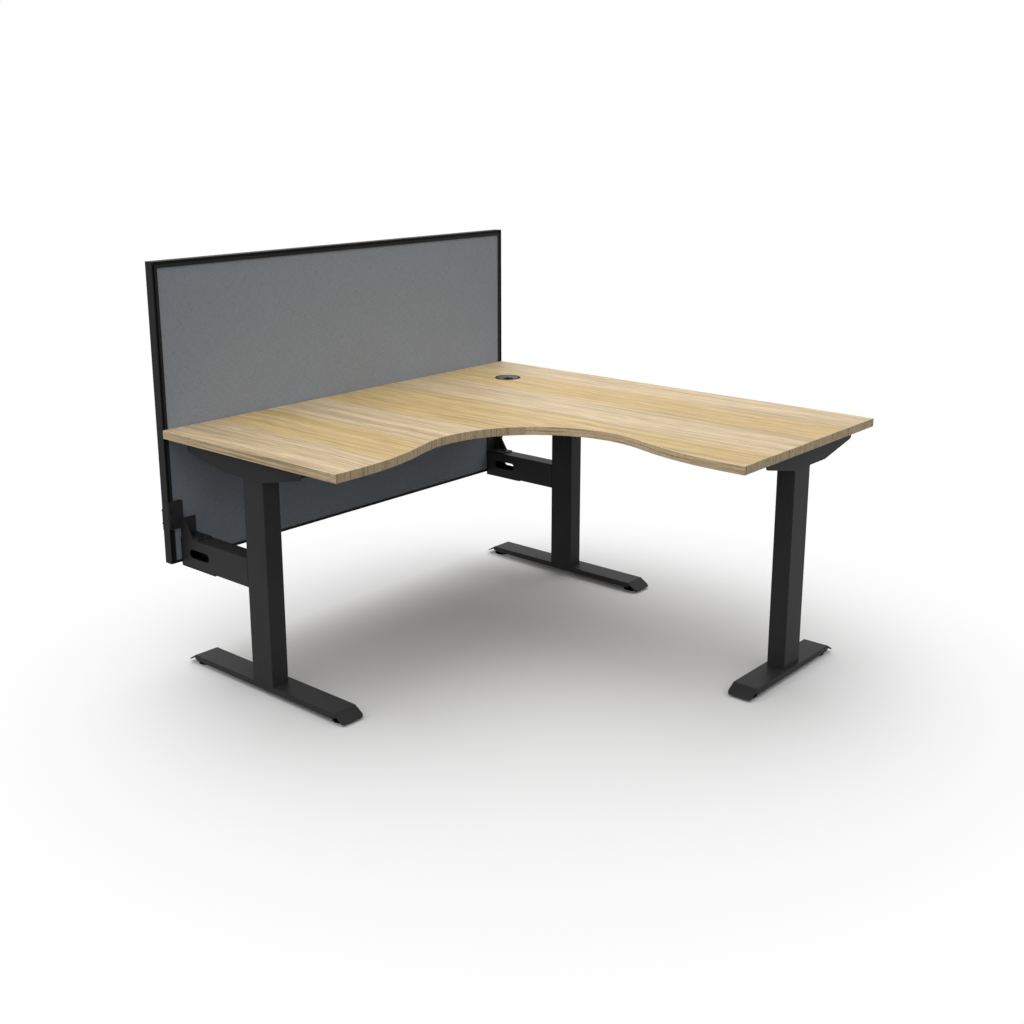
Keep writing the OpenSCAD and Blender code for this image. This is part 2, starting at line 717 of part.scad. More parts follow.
module screen_corner_keys() color(zinc) desk()
    for (side = [-1, 1], up = [0, 1])
        translate([-screen_t / 2, screen_end(side), screen_z + up * screen_h])
            mirror([0, side > 0 ? 1 : 0, 0]) mirror([0, 0, up]) {
                across = up == 0 ? low_chamber : chamber;
                d = chamber_d - 0.2;
                translate([-d / 2, chamber[0] + 0.1, across[0] + 0.1]) {
                    cube([d, key_l, across[1] - across[0] - 0.2]);
                    cube([d, chamber_w - 0.2, key_l]);
                }
            }

// A layer of the panel between two depths behind the frame's face
module panel(front, back) desk()
    translate([-back, -screen_l + panel_edge, screen_z + low_slot + panel_gap])
        cube([back - front, screen_l - 2 * panel_edge, screen_h - panel_edge - low_slot - panel_gap]);

module screen_board() color(board_brown) panel(skin_back + skin_t, screen_t - skin_back - skin_t);
module front_fabric() color(cloth) panel(skin_back, skin_back + skin_t);
module rear_fabric() color(cloth) panel(screen_t - skin_back - skin_t, screen_t - skin_back);

worktop_core();
inner_edge_band();
left_end_band();
right_end_band();
screen_side_band();
back_edge_band();
grommet_liner();
grommet_cover();
grommet_shutter();
left_top_bracket();
corner_top_bracket();
right_top_bracket();
left_column();
corner_column();
right_column();
column_base_plates();
column_cap_plates();
left_foot();
corner_foot();
right_foot();
glide_pad(LEFT, -1);  // left_back_pad
glide_pad(LEFT, 1);  // left_front_pad
glide_pad(CORNER, -1);  // corner_back_pad
glide_pad(CORNER, 1);  // corner_front_pad
glide_pad(RIGHT, -1);  // right_back_pad
glide_pad(RIGHT, 1);  // right_front_pad
glide_stud(LEFT, -1);  // left_back_stud
glide_stud(LEFT, 1);  // left_front_stud
glide_stud(CORNER, -1);  // corner_back_stud
glide_stud(CORNER, 1);  // corner_front_stud
glide_stud(RIGHT, -1);  // right_back_stud
glide_stud(RIGHT, 1);  // right_front_stud
glide_bushes();
left_rail();
right_rail();
rail_end_plates();
left_arm();
corner_arm();
arm_end_caps();
left_arm_plate();
corner_arm_plate();
left_screen_bracket();
corner_screen_bracket();
left_rear_clamp();
corner_rear_clamp();
screen_board();
front_fabric();
rear_fabric();
screen_top_bar();
screen_bottom_bar();
screen_left_bar();
screen_right_bar();
screen_corner_keys();
worktop_screws();
column_bolts();
rail_bolts();
arm_bolts();
clamp_bolts();
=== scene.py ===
"""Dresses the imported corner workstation: finishes, cloth, fasteners, glides, light and camera."""

import json
import logging
import math
from collections.abc import Callable, Sequence
from dataclasses import dataclass, field
from enum import Enum

import bmesh
import bpy
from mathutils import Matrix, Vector

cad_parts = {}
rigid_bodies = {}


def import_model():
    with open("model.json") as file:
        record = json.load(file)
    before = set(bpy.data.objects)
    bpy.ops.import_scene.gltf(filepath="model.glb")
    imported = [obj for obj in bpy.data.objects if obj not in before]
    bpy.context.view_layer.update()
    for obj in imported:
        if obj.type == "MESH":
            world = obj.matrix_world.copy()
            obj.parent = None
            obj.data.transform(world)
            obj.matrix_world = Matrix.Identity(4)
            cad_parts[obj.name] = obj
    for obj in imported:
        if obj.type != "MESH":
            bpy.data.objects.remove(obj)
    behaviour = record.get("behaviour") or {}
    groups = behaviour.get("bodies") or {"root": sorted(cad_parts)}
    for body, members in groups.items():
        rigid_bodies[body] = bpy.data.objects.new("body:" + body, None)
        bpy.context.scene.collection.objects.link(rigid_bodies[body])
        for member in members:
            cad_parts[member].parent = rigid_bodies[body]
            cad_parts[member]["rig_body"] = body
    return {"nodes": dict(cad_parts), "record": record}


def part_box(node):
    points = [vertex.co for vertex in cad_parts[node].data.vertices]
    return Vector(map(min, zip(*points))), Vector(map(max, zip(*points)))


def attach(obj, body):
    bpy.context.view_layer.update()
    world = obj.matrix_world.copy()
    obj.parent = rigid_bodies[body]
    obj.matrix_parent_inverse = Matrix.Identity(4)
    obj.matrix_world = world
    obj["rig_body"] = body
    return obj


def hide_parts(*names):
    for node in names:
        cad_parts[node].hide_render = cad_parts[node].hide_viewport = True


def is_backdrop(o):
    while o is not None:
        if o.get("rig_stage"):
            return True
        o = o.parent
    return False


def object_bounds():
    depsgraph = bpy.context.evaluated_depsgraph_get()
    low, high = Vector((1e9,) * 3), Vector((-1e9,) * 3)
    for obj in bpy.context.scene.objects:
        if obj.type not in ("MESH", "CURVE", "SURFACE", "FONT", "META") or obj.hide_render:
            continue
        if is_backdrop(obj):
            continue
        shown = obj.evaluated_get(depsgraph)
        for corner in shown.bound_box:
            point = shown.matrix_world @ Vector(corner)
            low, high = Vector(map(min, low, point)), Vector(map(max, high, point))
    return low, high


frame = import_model()

LOG = logging.getLogger("workstation")

Colour = tuple[float, float, float]  # or a factor for each axis
Profile = Sequence[tuple[float, float]]  # radius and height of each ring
Shape = bmesh.types.BMesh
Item = bpy.types.Object
Material = bpy.types.Material
Socket = bpy.types.NodeSocket
Places = list[tuple[Vector, Vector]]  # a point and a direction
Boxes = list[tuple[Vector, Vector]]  # the lowest and the highest corner
Kinds = list[tuple[Shape, Places]]  # a fastener's shape and its places
Swell = Callable[[int, int], float]  # the factor on a radius, by ring and side

MM = 0.001
WELD = 1e-6  # points nearer than this are one point
UP = Vector((0, 0, 1))
DOWN = Vector((0, 0, -1))
BACK = Vector((-1, 0, 0))
HEXAGON_SIDES = 48
SOCKET_SIDES = 32
BOLT_SIDES = 14
SCREW_SIDES = 12
THREAD_DEPTH = 0.54  # as a share of the pitch
THREAD_STEPS = 4  # for each turn
GLIDES = ("left_back", "left_front", "corner_back", "corner_front", "right_back", "right_front")


class Slot(str, Enum):
    """The record's material slots."""

    OAK = "oak_board"
    EDGING = "oak_edging"
    OUTLET = "outlet_plastic"
    CHARCOAL = "charcoal_coating"
    ZINC = "zinc_plate"
    BLACK_STEEL = "black_steel"
    BLACK = "black_plastic"
    PROFILE = "screen_profile"
    CLOTH = "screen_cloth"
    CORE = "core_board"


SLOTS = {part["node"]: Slot(part["material_slot"]) for part in frame["record"]["subparts"]}


class Cut(Enum):
    """Where the oak print is seen: on the board's faces or on its edging."""

    FACE = 1
    EDGE = 2


def srgb(r: int, g: int, b: int) -> Colour:
    """Turns a colour that was read from the photograph into what shaders take.

    Args:
        r: red, from 0 to 255.
        g: green.
        b: blue.

    Returns:
        The linear colour.
    """
    return tuple(
        c / 12.92 if c <= 0.04045 else ((c + 0.055) / 1.055) ** 2.4
        for c in (v / 255 for v in (r, g, b))
    )


def linked(name: str, data: bpy.types.ID) -> Item:
    """Puts a mesh, a lamp or a camera into the scene.

    Args:
        name: the object's name.
        data: what it shows.

    Returns:
        The object, at the origin.
    """
    made = bpy.data.objects.new(name, data)
    bpy.context.scene.collection.objects.link(made)
    return made


class Graph:
    """A material's node tree, with short calls for the nodes that the finishes share."""

    def __init__(self, name: str) -> None:
        """Starts the material.

        Args:
            name: the material's name.
        """
        self.material = bpy.data.materials.new(name)
        self.material.use_nodes = True
        self.tree = self.material.node_tree
        self.shader = self.tree.nodes["Principled BSDF"]
        self.object = self.node("ShaderNodeTexCoord").outputs["Object"]

    def node(
        self, kind: str, inputs: dict[str | int, object] | None = None, **settings: object
    ) -> bpy.types.Node:
        """Adds a node.

        Args:
            kind: the node's type.
            inputs: socket name or number to a constant or to another node's output.
            **settings: the node's own properties.

        Returns:
            The node.
        """
        made = self.tree.nodes.new(kind)
        for key, value in settings.items():
            setattr(made, key, value)
        for key, value in (inputs or {}).items():
            self.put(made.inputs[key], value)
        return made

    def put(self, socket: Socket, value: object) -> None:
        """Links an output to a socket, or sets the socket's constant.

        Args:
            socket: the input.
            value: an output socket, a number or a colour.
        """
        if isinstance(value, Socket):
            self.tree.links.new(value, socket)
        elif isinstance(value, tuple) and len(value) == 3 and socket.type == "RGBA":
            socket.default_value = (*value, 1.0)
        else:
            socket.default_value = value

    def scaled(self, source: Socket, scale: Colour) -> Socket:
        """Stretches coordinates.

        Args:
            source: the coordinates.
            scale: the factor along each axis.

        Returns:
            The stretched coordinates.
        """
        return self.node("ShaderNodeMapping", {"Vector": source, "Scale": scale}).outputs[0]

    def noise(self, at: Socket, scale: float, detail: float = 2.0, rough: float = 0.5) -> Socket:
        """Noise, from 0 to 1.

        Args:
            at: the coordinates.
            scale: how many features lie in a unit of them.
            detail: the octaves.
            rough: how strong the fine octaves are.

        Returns:
            The value.
        """
        inputs = {"Vector": at, "Scale": scale, "Detail": detail, "Roughness": rough}
        return self.node("ShaderNodeTexNoise", inputs).outputs["Fac"]

    def grain(self, at: Socket, scale: Colour, detail: float = 2.0, rough: float = 0.5) -> Socket:
        """Noise that is stretched along an axis, from 0 to 1.

        Args:
            at: the coordinates.
            scale: how many features lie in a metre of each axis.
            detail: the octaves.
            rough: how strong the fine octaves are.

        Returns:
            The value.
        """
        return self.noise(self.scaled(at, scale), 1.0, detail, rough)

    def maths(self, what: str, a: object, b: object = 0.0) -> Socket:
        """One sum of two values.

        Args:
            what: the operation.
            a: the first value or output.
            b: the second.

        Returns:
            The result.
        """
        return self.node("ShaderNodeMath", {0: a, 1: b}, operation=what).outputs[0]

    def span(
        self, value: Socket, low: float, high: float, to_low: object = 0.0, to_high: object = 1.0
    ) -> Socket:
        """Stretches a value smoothly from one range to another.

        Args:
            value: the value.
            low: where it starts.
            high: where it ends.
            to_low: the result at the start.
            to_high: the result at the end.

        Returns:
            The result.
        """
        limits = {"From Min": low, "From Max": high, "To Min": to_low, "To Max": to_high}
        made = self.node(
            "ShaderNodeMapRange", {"Value": value, **limits}, interpolation_type="SMOOTHSTEP"
        )
        return made.outputs["Result"]

    def mix(self, share: object, a: object, b: object, blend: str = "MIX") -> Socket:
        """Mixes two colours.

        Args:
            share: how much of the second colour.
            a: the first colour or output.
            b: the second.
            blend: the way of mixing.

        Returns:
            The mixed colour.
        """
        made = self.tree.nodes.new("ShaderNodeMix")
        made.data_type = "RGBA"
        made.blend_type = blend
        self.put(made.inputs[0], share)
        self.put(made.inputs[6], a)
        self.put(made.inputs[7], b)
        return made.outputs[2]

    def shaded(self, colour: object, factor: Socket) -> Socket:
        """Darkens or lightens a colour.

        Args:
            colour: the colour or output.
            factor: what it is multiplied by.

        Returns:
            The colour.
        """
        grey = self.node("ShaderNodeCombineXYZ", {0: factor, 1: factor, 2: factor}).outputs[0]
        return self.mix(1.0, colour, grey, "MULTIPLY")

    def bump(self, height: Socket, distance: float, strength: float) -> None:
        """Raises the surface.

        Args:
            height: the height, from 0 to 1.
            distance: the height that 1 stands for, in metres.
            strength: how much of it shows.
        """
        inputs = {"Height": height, "Distance": distance, "Strength": strength}
        made = self.node("ShaderNodeBump", inputs)
        self.put(self.shader.inputs["Normal"], made.outputs[0])

    def set(self, **values: object) -> None:
        """Sets the shader's inputs, named with _ for a space."""
        for key, value in values.items():
            self.put(self.shader.inputs[key.replace("_", " ")], value)


@dataclass(frozen=True)
class OakDecor:
    """Printed oak: warm and pale boards side by side along Y, wavy streaks along X, short pores;
    the edging carries painted light, a lighter tone set by the way each face looks.

    Each scale says how many features lie in a metre along X, Y and Z.
    """

    warm: Colour = srgb(211, 183, 131)
    pale: Colour = srgb(216, 193, 157)
    olive: Colour = srgb(162, 141, 93)
    grey: Colour = srgb(158, 139, 114)
    light: Colour = srgb(235, 215, 186)
    pore: Colour = srgb(128, 108, 82)
    seams: tuple[float, ...] = (0.585, 0.375, 0.16, -0.13, -0.36, -0.56)
    seam_shift: float = 31.5 * MM
    seam_blur: float = 14 * MM
    board_contrast: float = 0.9
    broad_scale: Colour = (1.0, 38.0, 30.0)
    fine_scale: Colour = (3.0, 165.0, 120.0)
    hair_scale: Colour = (11.0, 400.0, 300.0)
    pore_scale: Colour = (26.0, 760.0, 420.0)
    patch_scale: Colour = (2.0, 22.0, 22.0)
    long_scale: Colour = (2.0, 14.0, 190.0)
    upright_scale: Colour = (2.0, 230.0, 9.0)
    slow_scale: Colour = (1.8, 2.2, 2.0)
    quick_scale: Colour = (6.0, 7.0, 8.0)
    slow_drift: float = 50 * MM
    quick_drift: float = 13 * MM
    hair_tone: tuple[float, float] = (0.84, 1.15)
    bright_shares: tuple[float, float] = (0.24, 0.5)
    dark_share: float = 0.5
    streak_share: float = 0.7
    edge_streak_share: float = 0.9
    pore_share: float = 0.4
    edge_figure: float = 0.4
    edge_print: float = 1.0
    # painted light: factors that lighten the edging's colour on its long edges and at its ends
    long_edge_painted_light: float = 1.34
    end_edge_painted_light: float = 1.04
    roughness: float = 0.5
    shine: float = 0.16
    relief: float = 0.06 * MM

    def build(self, name: str, cut: Cut) -> Material:
        """Makes the finish; the edging shows upright stripes where it faces along the grain, and
        painted light lightens it, most on its long edges.

        Args:
            name: the material's name.
            cut: whether it is for faces or for edging.

        Returns:
            The material.
        """
        g = Graph(name)
        edge = cut is Cut.EDGE
        figure = self.edge_figure if edge else 1.0
        at = self.waved(g)
        boards = self.edge_print if edge else self.boards(g, at)
        broad = g.grain(at, self.broad_scale, 3.0, 0.62)
        fine = self.edge_streaks(g, at) if edge else g.grain(at, self.fine_scale, 4.0, 0.62)
        hair = g.span(g.grain(at, self.hair_scale, 3.0, 0.6), 0.32, 0.68, *self.hair_tone)
        warm, pale = (figure * share for share in self.bright_shares)
        share = g.span(boards, 0.0, self.board_contrast, warm, pale)
        bright = g.maths("MULTIPLY", g.span(broad, 0.47, 0.3), share)
        dark = g.maths("MULTIPLY", g.span(broad, 0.5, 0.7), self.dark_share * figure)
        streaks = g.span(fine, 0.47, 0.68)
        streaked = self.edge_streak_share if edge else self.streak_share
        pores = g.span(g.grain(at, self.pore_scale), 0.6, 0.7)
        patches = g.span(g.grain(at, self.patch_scale), 0.42, 0.62)
        pores = g.maths("MULTIPLY", g.maths("MULTIPLY", pores, patches), self.pore_share)
        streak = g.mix(boards, self.olive, self.grey)
        colour = g.mix(bright, g.mix(boards, self.warm, self.pale), self.light)
        colour = g.mix(dark, colour, streak)
        colour = g.mix(g.maths("MULTIPLY", streaks, streaked), colour, streak)
        colour = g.shaded(g.mix(pores, colour, self.pore), hair)
        if edge:
            # painted light: the edging is lightened by the way it faces, more on its long edges
            # than at its ends
            ends = g.span(self.along(g), 0.0, 1.0, self.long_edge_painted_light, self.end_edge_painted_light)
            colour = g.shaded(colour, ends)
        rough = g.span(fine, 0.3, 0.8, self.roughness - 0.05, self.roughness + 0.07)
        g.set(Base_Color=colour, Roughness=rough, Specular_IOR_Level=self.shine)
        g.bump(g.maths("SUBTRACT", 1.0, g.maths("MULTIPLY", streaks, 0.6)), self.relief, 0.5)
        return g.material

    def waved(self, g: Graph) -> Socket:
        """Moves the grain sideways in slow waves.

        Args:
            g: the material's nodes.

        Returns:
            The coordinates.
        """
        slow = g.maths("MULTIPLY", g.grain(g.object, self.slow_scale, 1.0), self.slow_drift)
        quick = g.maths("MULTIPLY", g.grain(g.object, self.quick_scale, 1.0), self.quick_drift)
        drift = g.maths("ADD", slow, quick)
        lift = g.node("ShaderNodeCombineXYZ", {"Y": drift}).outputs[0]
        return g.node("ShaderNodeVectorMath", {0: g.object, 1: lift}, operation="ADD").outputs[0]

    def boards(self, g: Graph, at: Socket) -> Socket:
        """The printed boards, side by side along Y.

        Args:
            g: the material's nodes.
            at: the waved coordinates.

        Returns:
            1 in a pale board and 0 in a warm one.
        """
        across = g.node("ShaderNodeSeparateXYZ", {0: at}).outputs["Y"]
        y = g.maths("SUBTRACT", across, self.seam_shift)
        value: Socket | float = 1.0
        for i, seam in enumerate(self.seams):
            step = g.span(y, seam + self.seam_blur, seam - self.seam_blur)
            value = g.maths("SUBTRACT" if i % 2 == 0 else "ADD", value, step)
        return g.maths("MULTIPLY", value, self.board_contrast)

    def along(self, g: Graph) -> Socket:
        """Tells where an edge faces along the grain.

        Args:
            g: the material's nodes.

        Returns:
            1 where it does and 0 where it faces across.
        """
        facing = g.node("ShaderNodeTexCoord").outputs["Normal"]
        x = g.maths("ABSOLUTE", g.node("ShaderNodeSeparateXYZ", {0: facing}).outputs["X"])
        return g.span(x, 0.695, 0.72)

    def edge_streaks(self, g: Graph, at: Socket) -> Socket:
        """The edging's streaks: long lines, or upright stripes where it faces along the grain.

        Args:
            g: the material's nodes.
            at: the waved coordinates.

        Returns:
            The streaks.
        """
        long = g.grain(at, self.long_scale, 2.0, 0.6)
        upright = g.grain(g.object, self.upright_scale, 3.0, 0.7)
        return g.node("ShaderNodeMix", {0: self.along(g), 2: long, 3: upright}).outputs[0]


@dataclass(frozen=True)
class PowderCoat:
    """Satin powder coat on sheet and tube: fine orange peel, with the least cloudiness."""

    colour: Colour = srgb(54, 54, 55)
    lines: float = 0.0
    shine: float = 0.13
    peel_scale: float = 900.0
    grit_scale: float = 3200.0
    cloud_scale: float = 7.0
    drawn_scale: Colour = (2600.0, 900.0, 900.0)
    grit_share: float = 0.25
    relief: float = 0.07 * MM

    def build(self, name: str) -> Material:
        """Makes the finish, drawn along the bar where lines is above 0.

        Args:
            name: the material's name.

        Returns:
            The material.
        """
        g = Graph(name)
        peel = g.noise(g.object, self.peel_scale, 2.0, 0.55)
        grit = g.maths("MULTIPLY", g.noise(g.object, self.grit_scale, 1.0), self.grit_share)
        cloud = g.noise(g.object, self.cloud_scale)
        height = g.maths("ADD", g.maths("MULTIPLY", peel, 1 - self.grit_share), grit)
        if self.lines:
            drawn = g.grain(g.object, self.drawn_scale, 1.0)
            height = g.maths("ADD", height, g.maths("MULTIPLY", drawn, self.lines))
        g.set(Base_Color=g.shaded(self.colour, g.span(cloud, 0.3, 0.7, 0.93, 1.07)))
        g.set(Roughness=g.span(peel, 0.3, 0.7, 0.44, 0.56), Specular_IOR_Level=self.shine)
        g.bump(height, self.relief, 0.6)
        return g.material


@dataclass(frozen=True)
class Plastic:
    """Moulded plastic with a fine spark-eroded grain."""

    colour: Colour
    shine: float
    grain: float = 1700.0
    roughness: float = 0.5
    cloud_scale: float = 30.0
    relief: float = 0.05 * MM

    def build(self, name: str) -> Material:
        """Makes the finish.

        Args:
            name: the material's name.

        Returns:
            The material.
        """
        g = Graph(name)
        grain = g.noise(g.object, self.grain, 3.0, 0.6)
        tone = g.span(g.noise(g.object, self.cloud_scale), 0.3, 0.7, 0.95, 1.05)
        g.set(Base_Color=g.shaded(self.colour, tone), Specular_IOR_Level=self.shine)
        g.set(Roughness=g.span(grain, 0.3, 0.7, self.roughness - 0.08, self.roughness + 0.08))
        g.bump(grain, self.relief, 0.6)
        return g.material


@dataclass(frozen=True)
class Zinc:
    """Bright zinc plate, a little clouded."""

    colour: Colour = srgb(176, 179, 184)
    dull: Colour = srgb(164, 166, 158)
    cloud_scale: float = 160.0
    grain: float = 1400.0
    relief: float = 0.03 * MM

    def build(self, name: str) -> Material:
        """Makes the finish.

        Args:
            name: the material's name.

        Returns:
            The material.
        """
        g = Graph(name)
        cloud = g.noise(g.object, self.cloud_scale, 3.0, 0.6)
        tint = g.mix(g.span(cloud, 0.35, 0.7), self.colour, self.dull)
        g.set(Base_Color=tint, Metallic=0.9, Roughness=g.span(cloud, 0.3, 0.75, 0.28, 0.46))
        g.bump(g.noise(g.object, self.grain), self.relief, 0.5)
        return g.material


@dataclass(frozen=True)
class Chipboard:
    """Raw board inside the screen."""

    pale: Colour = srgb(178, 150, 108)
    dark: Colour = srgb(128, 100, 66)
    chip_scale: float = 260.0
    relief: float = 0.2 * MM

    def build(self, name: str) -> Material:
        """Makes the finish.

        Args:
            name: the material's name.

        Returns:
            The material.
        """
        g = Graph(name)
        inputs = {"Vector": g.object, "Scale": self.chip_scale}
        chips = g.node("ShaderNodeTexVoronoi", inputs).outputs["Color"]
        grey = g.node("ShaderNodeRGBToBW", {0: chips}).outputs[0]
        g.set(Base_Color=g.mix(grey, self.pale, self.dark), Roughness=0.85)
        g.bump(grey, self.relief, 0.5)
        return g.material


@dataclass(frozen=True)
class Cloth:
    """Plain woven screen cloth: threads across and up, in two close greys, with painted shade in
    the gaps between them.
    """

    light: Colour = srgb(178, 188, 201)
    dark: Colour = srgb(146, 156, 168)
    thread_gap_shade: Colour = srgb(86, 91, 98)
    faded: Colour = srgb(126, 132, 140)
    pitch: float = 1.1 * MM
    weft_scale: Colour = (60.0, 60.0, 900.0)
    warp_scale: Colour = (60.0, 900.0, 60.0)
    patch_scale: float = 14.0
    relief: float = 0.22 * MM

    def build(self, name: str) -> Material:
        """Makes the finish, with the threads on Y and Z.

        Args:
            name: the material's name.

        Returns:
            The material.
        """
        g = Graph(name)
        turn = math.pi / self.pitch
        slub = g.grain(g.object, self.weft_scale)
        pick = g.grain(g.object, self.warp_scale)
        at = g.node("ShaderNodeSeparateXYZ", {0: g.object}).outputs
        warp = g.maths("SINE", g.maths("MULTIPLY", at["Y"], turn))
        weft = g.maths("SINE", g.maths("MULTIPLY", at["Z"], turn))
        cross = g.maths("MULTIPLY", warp, weft)
        over = g.span(cross, -0.25, 0.25)
        ridge = g.maths("MULTIPLY", g.maths("ABSOLUTE", warp), g.maths("ABSOLUTE", weft))
        heather = g.node("ShaderNodeMix", {0: over, 2: slub, 3: pick}).outputs[0]
        tone = g.span(heather, 0.3, 0.7)
        colour = g.mix(tone, self.dark, self.light)
        # painted shade: the hollows between the threads are darkened
        colour = g.mix(g.span(ridge, 0.0, 0.4, 0.22, 0.0), colour, self.thread_gap_shade)
        patches = g.span(g.noise(g.object, self.patch_scale), 0.3, 0.7, 0.0, 0.05)
        g.set(Base_Color=g.mix(patches, colour, self.faded), Roughness=0.92)
        g.set(Specular_IOR_Level=0.15, Sheen_Weight=0.25, Sheen_Roughness=0.5)
        g.bump(ridge, self.relief, 0.7)
        return g.material


@dataclass
class Finishes:
    """Every slot's material, made once."""

    made: dict[Slot, Material] = field(default_factory=dict)
    own: dict[str, Material] = field(default_factory=dict)

    def build(self) -> None:
        """Makes all the materials; the outlet's liner and the two end bands have their own, with
        painted shade on the liner's rim and painted light on the end bands.
        """
        oak = OakDecor()
        outlet = Plastic(srgb(64, 66, 70), grain=1200.0, shine=0.45)
        black = Plastic(srgb(14, 14, 15), roughness=0.62, shine=0.03)
        profile = PowderCoat(srgb(42, 42, 43), lines=0.4, shine=0.1)
        self.made = {
            Slot.OAK: oak.build("oak_melamine", Cut.FACE),
            Slot.EDGING: oak.build("oak_edging", Cut.EDGE),
            Slot.OUTLET: outlet.build("outlet_plastic"),
            Slot.CHARCOAL: PowderCoat().build("charcoal_powder_coat"),
            Slot.ZINC: Zinc().build("zinc_plate"),
            Slot.BLACK_STEEL: PowderCoat(srgb(34, 34, 35)).build("black_steel"),
            Slot.BLACK: black.build("black_moulding"),
            Slot.PROFILE: profile.build("coated_profile"),
            Slot.CLOTH: Cloth().build("woven_cloth"),
            Slot.CORE: Chipboard().build("raw_board"),
        }
        # the liner is a darker, duller plastic than the cover, and its rim also paints the ring of
        # shade round the outlet
        liner_painted_rim_shade = Plastic(srgb(34, 35, 37), grain=1200.0, roughness=0.6, shine=0.04)
        # painted light: the left end band's long face and the right end band's end are lightened
        # beyond the rest of the edging
        left, right = OakDecor(long_edge_painted_light=1.43), OakDecor(end_edge_painted_light=1.17)
        self.own = {
            "grommet_liner": liner_painted_rim_shade.build("outlet_liner_painted_rim_shade"),
            "left_end_band": left.build("oak_edging_left_painted_light", Cut.EDGE),
            "right_end_band": right.build("oak_edging_right_painted_light", Cut.EDGE),
        }
        LOG.info("finishes: %d", len(self.made) + len(self.own))

    def of(self, node: str) -> Material:
        """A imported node's own material, or else its slot's."""
        return self.own.get(node, self.made[SLOTS[node]])

    def dress(self, node: str) -> None:
        """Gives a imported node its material.

        Args:
            node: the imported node.
        """
        mesh = frame["nodes"][node].data
        mesh.materials.clear()
        mesh.materials.append(self.of(node))


class Piece:
    """Help for pieces made of mesh code."""

    @staticmethod
    def place(name: str, shape: Shape, material: Material) -> Item:
        """Turns a bmesh into a smoothly shaded object at the origin.

        Args:
            name: the piece's name.
            shape: the shape, in the row frame, which is freed.
            material: its material.

        Returns:
            The object.
        """
        mesh = bpy.data.meshes.new(name)
        shape.to_mesh(mesh)
        shape.free()
        mesh.materials.append(material)
        mesh.shade_smooth()
        return linked(name, mesh)

    @staticmethod
    def finish(name: str, shape: Shape, material: Material, smooth: float = 30.0) -> Item:
        """Turns a bmesh into an object with its faces outwards and its sharp edges kept.

        Args:
            name: the piece's name.
            shape: the shape, in the row frame, which is freed.
            material: its material.
            smooth: the angle in degrees under which an edge is shaded smooth.

        Returns:
            The object.
        """
        bmesh.ops.recalc_face_normals(shape, faces=shape.faces)
        made = Piece.place(name, shape, material)
        made.data.set_sharp_from_angle(angle=math.radians(smooth))
        return made

    @staticmethod
    def replace(made: Item, node: str) -> Item:
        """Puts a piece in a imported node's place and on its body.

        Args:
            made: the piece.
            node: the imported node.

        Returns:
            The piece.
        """
        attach(made, frame["nodes"][node]["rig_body"])
        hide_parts(node)
        return made

    @staticmethod
    def lathe(shape: Shape, profile: Profile, segments: int, swell: Swell | None = None) -> None:
        """Turns a profile about Z into a closed skin, with its ends on the axis.

        Args:
            shape: where the faces go.
            profile: radius and height of each ring, in metres; a radius of 0 is a pole.
            segments: how many sides.
            swell: gives the factor on the radius from the ring's and the side's number.
        """
        rings: list[list[bmesh.types.BMVert]] = []
        for i, (r, z) in enumerate(profile):
            if r == 0:
                rings.append([shape.verts.new((0, 0, z))])
                continue
            ring = []
            for k in range(segments):
                a = 2 * math.pi * k / segments
                s = r * (swell(i, k) if swell else 1.0)
                ring.append(shape.verts.new((s * math.cos(a), s * math.sin(a), z)))
            rings.append(ring)
        for low, high in zip(rings, rings[1:]):
            for k in range(segments):
                j = (k + 1) % segments
                if len(low) == 1:
                    shape.faces.new((low[0], high[k], high[j]))
                elif len(high) == 1:
                    shape.faces.new((low[j], low[k], high[0]))
                else:
                    shape.faces.new((low[k], low[j], high[j], high[k]))

    @staticmethod
    def threaded(
        shape: Shape, radius: float, z0: float, z1: float, pitch: float, sides: int
    ) -> None:
        """A threaded rod along Z: a helical skin with closed, chamfered ends.

        Args:
            shape: where the faces go.
            radius: the outer radius.
            z0: the lower end.
            z1: the upper end.
            pitch: the thread's pitch.
            sides: how many sides.
        """
        depth = THREAD_DEPTH * pitch
        steps = max(THREAD_STEPS, round((z1 - z0) / pitch * THREAD_STEPS))
        rings = []
        for i in range(steps + 1):
            z = z0 + (z1 - z0) * i / steps
            ends = min(1.0, (z - z0) / pitch, (z1 - z) / pitch)
            ring = []
            for k in range(sides):
                a = 2 * math.pi * k / sides
                wave = abs(2 * ((z / pitch - k / sides) % 1.0) - 1)
                r = radius - depth * (1 - wave * ends)
                ring.append(shape.verts.new((r * math.cos(a), r * math.sin(a), z)))
            rings.append(ring)
        for low, high in zip(rings, rings[1:]):
            for k in range(sides):
                j = (k + 1) % sides
                shape.faces.new((low[k], low[j], high[j], high[k]))
        shape.faces.new(list(reversed(rings[0])))
        shape.faces.new(rings[-1])


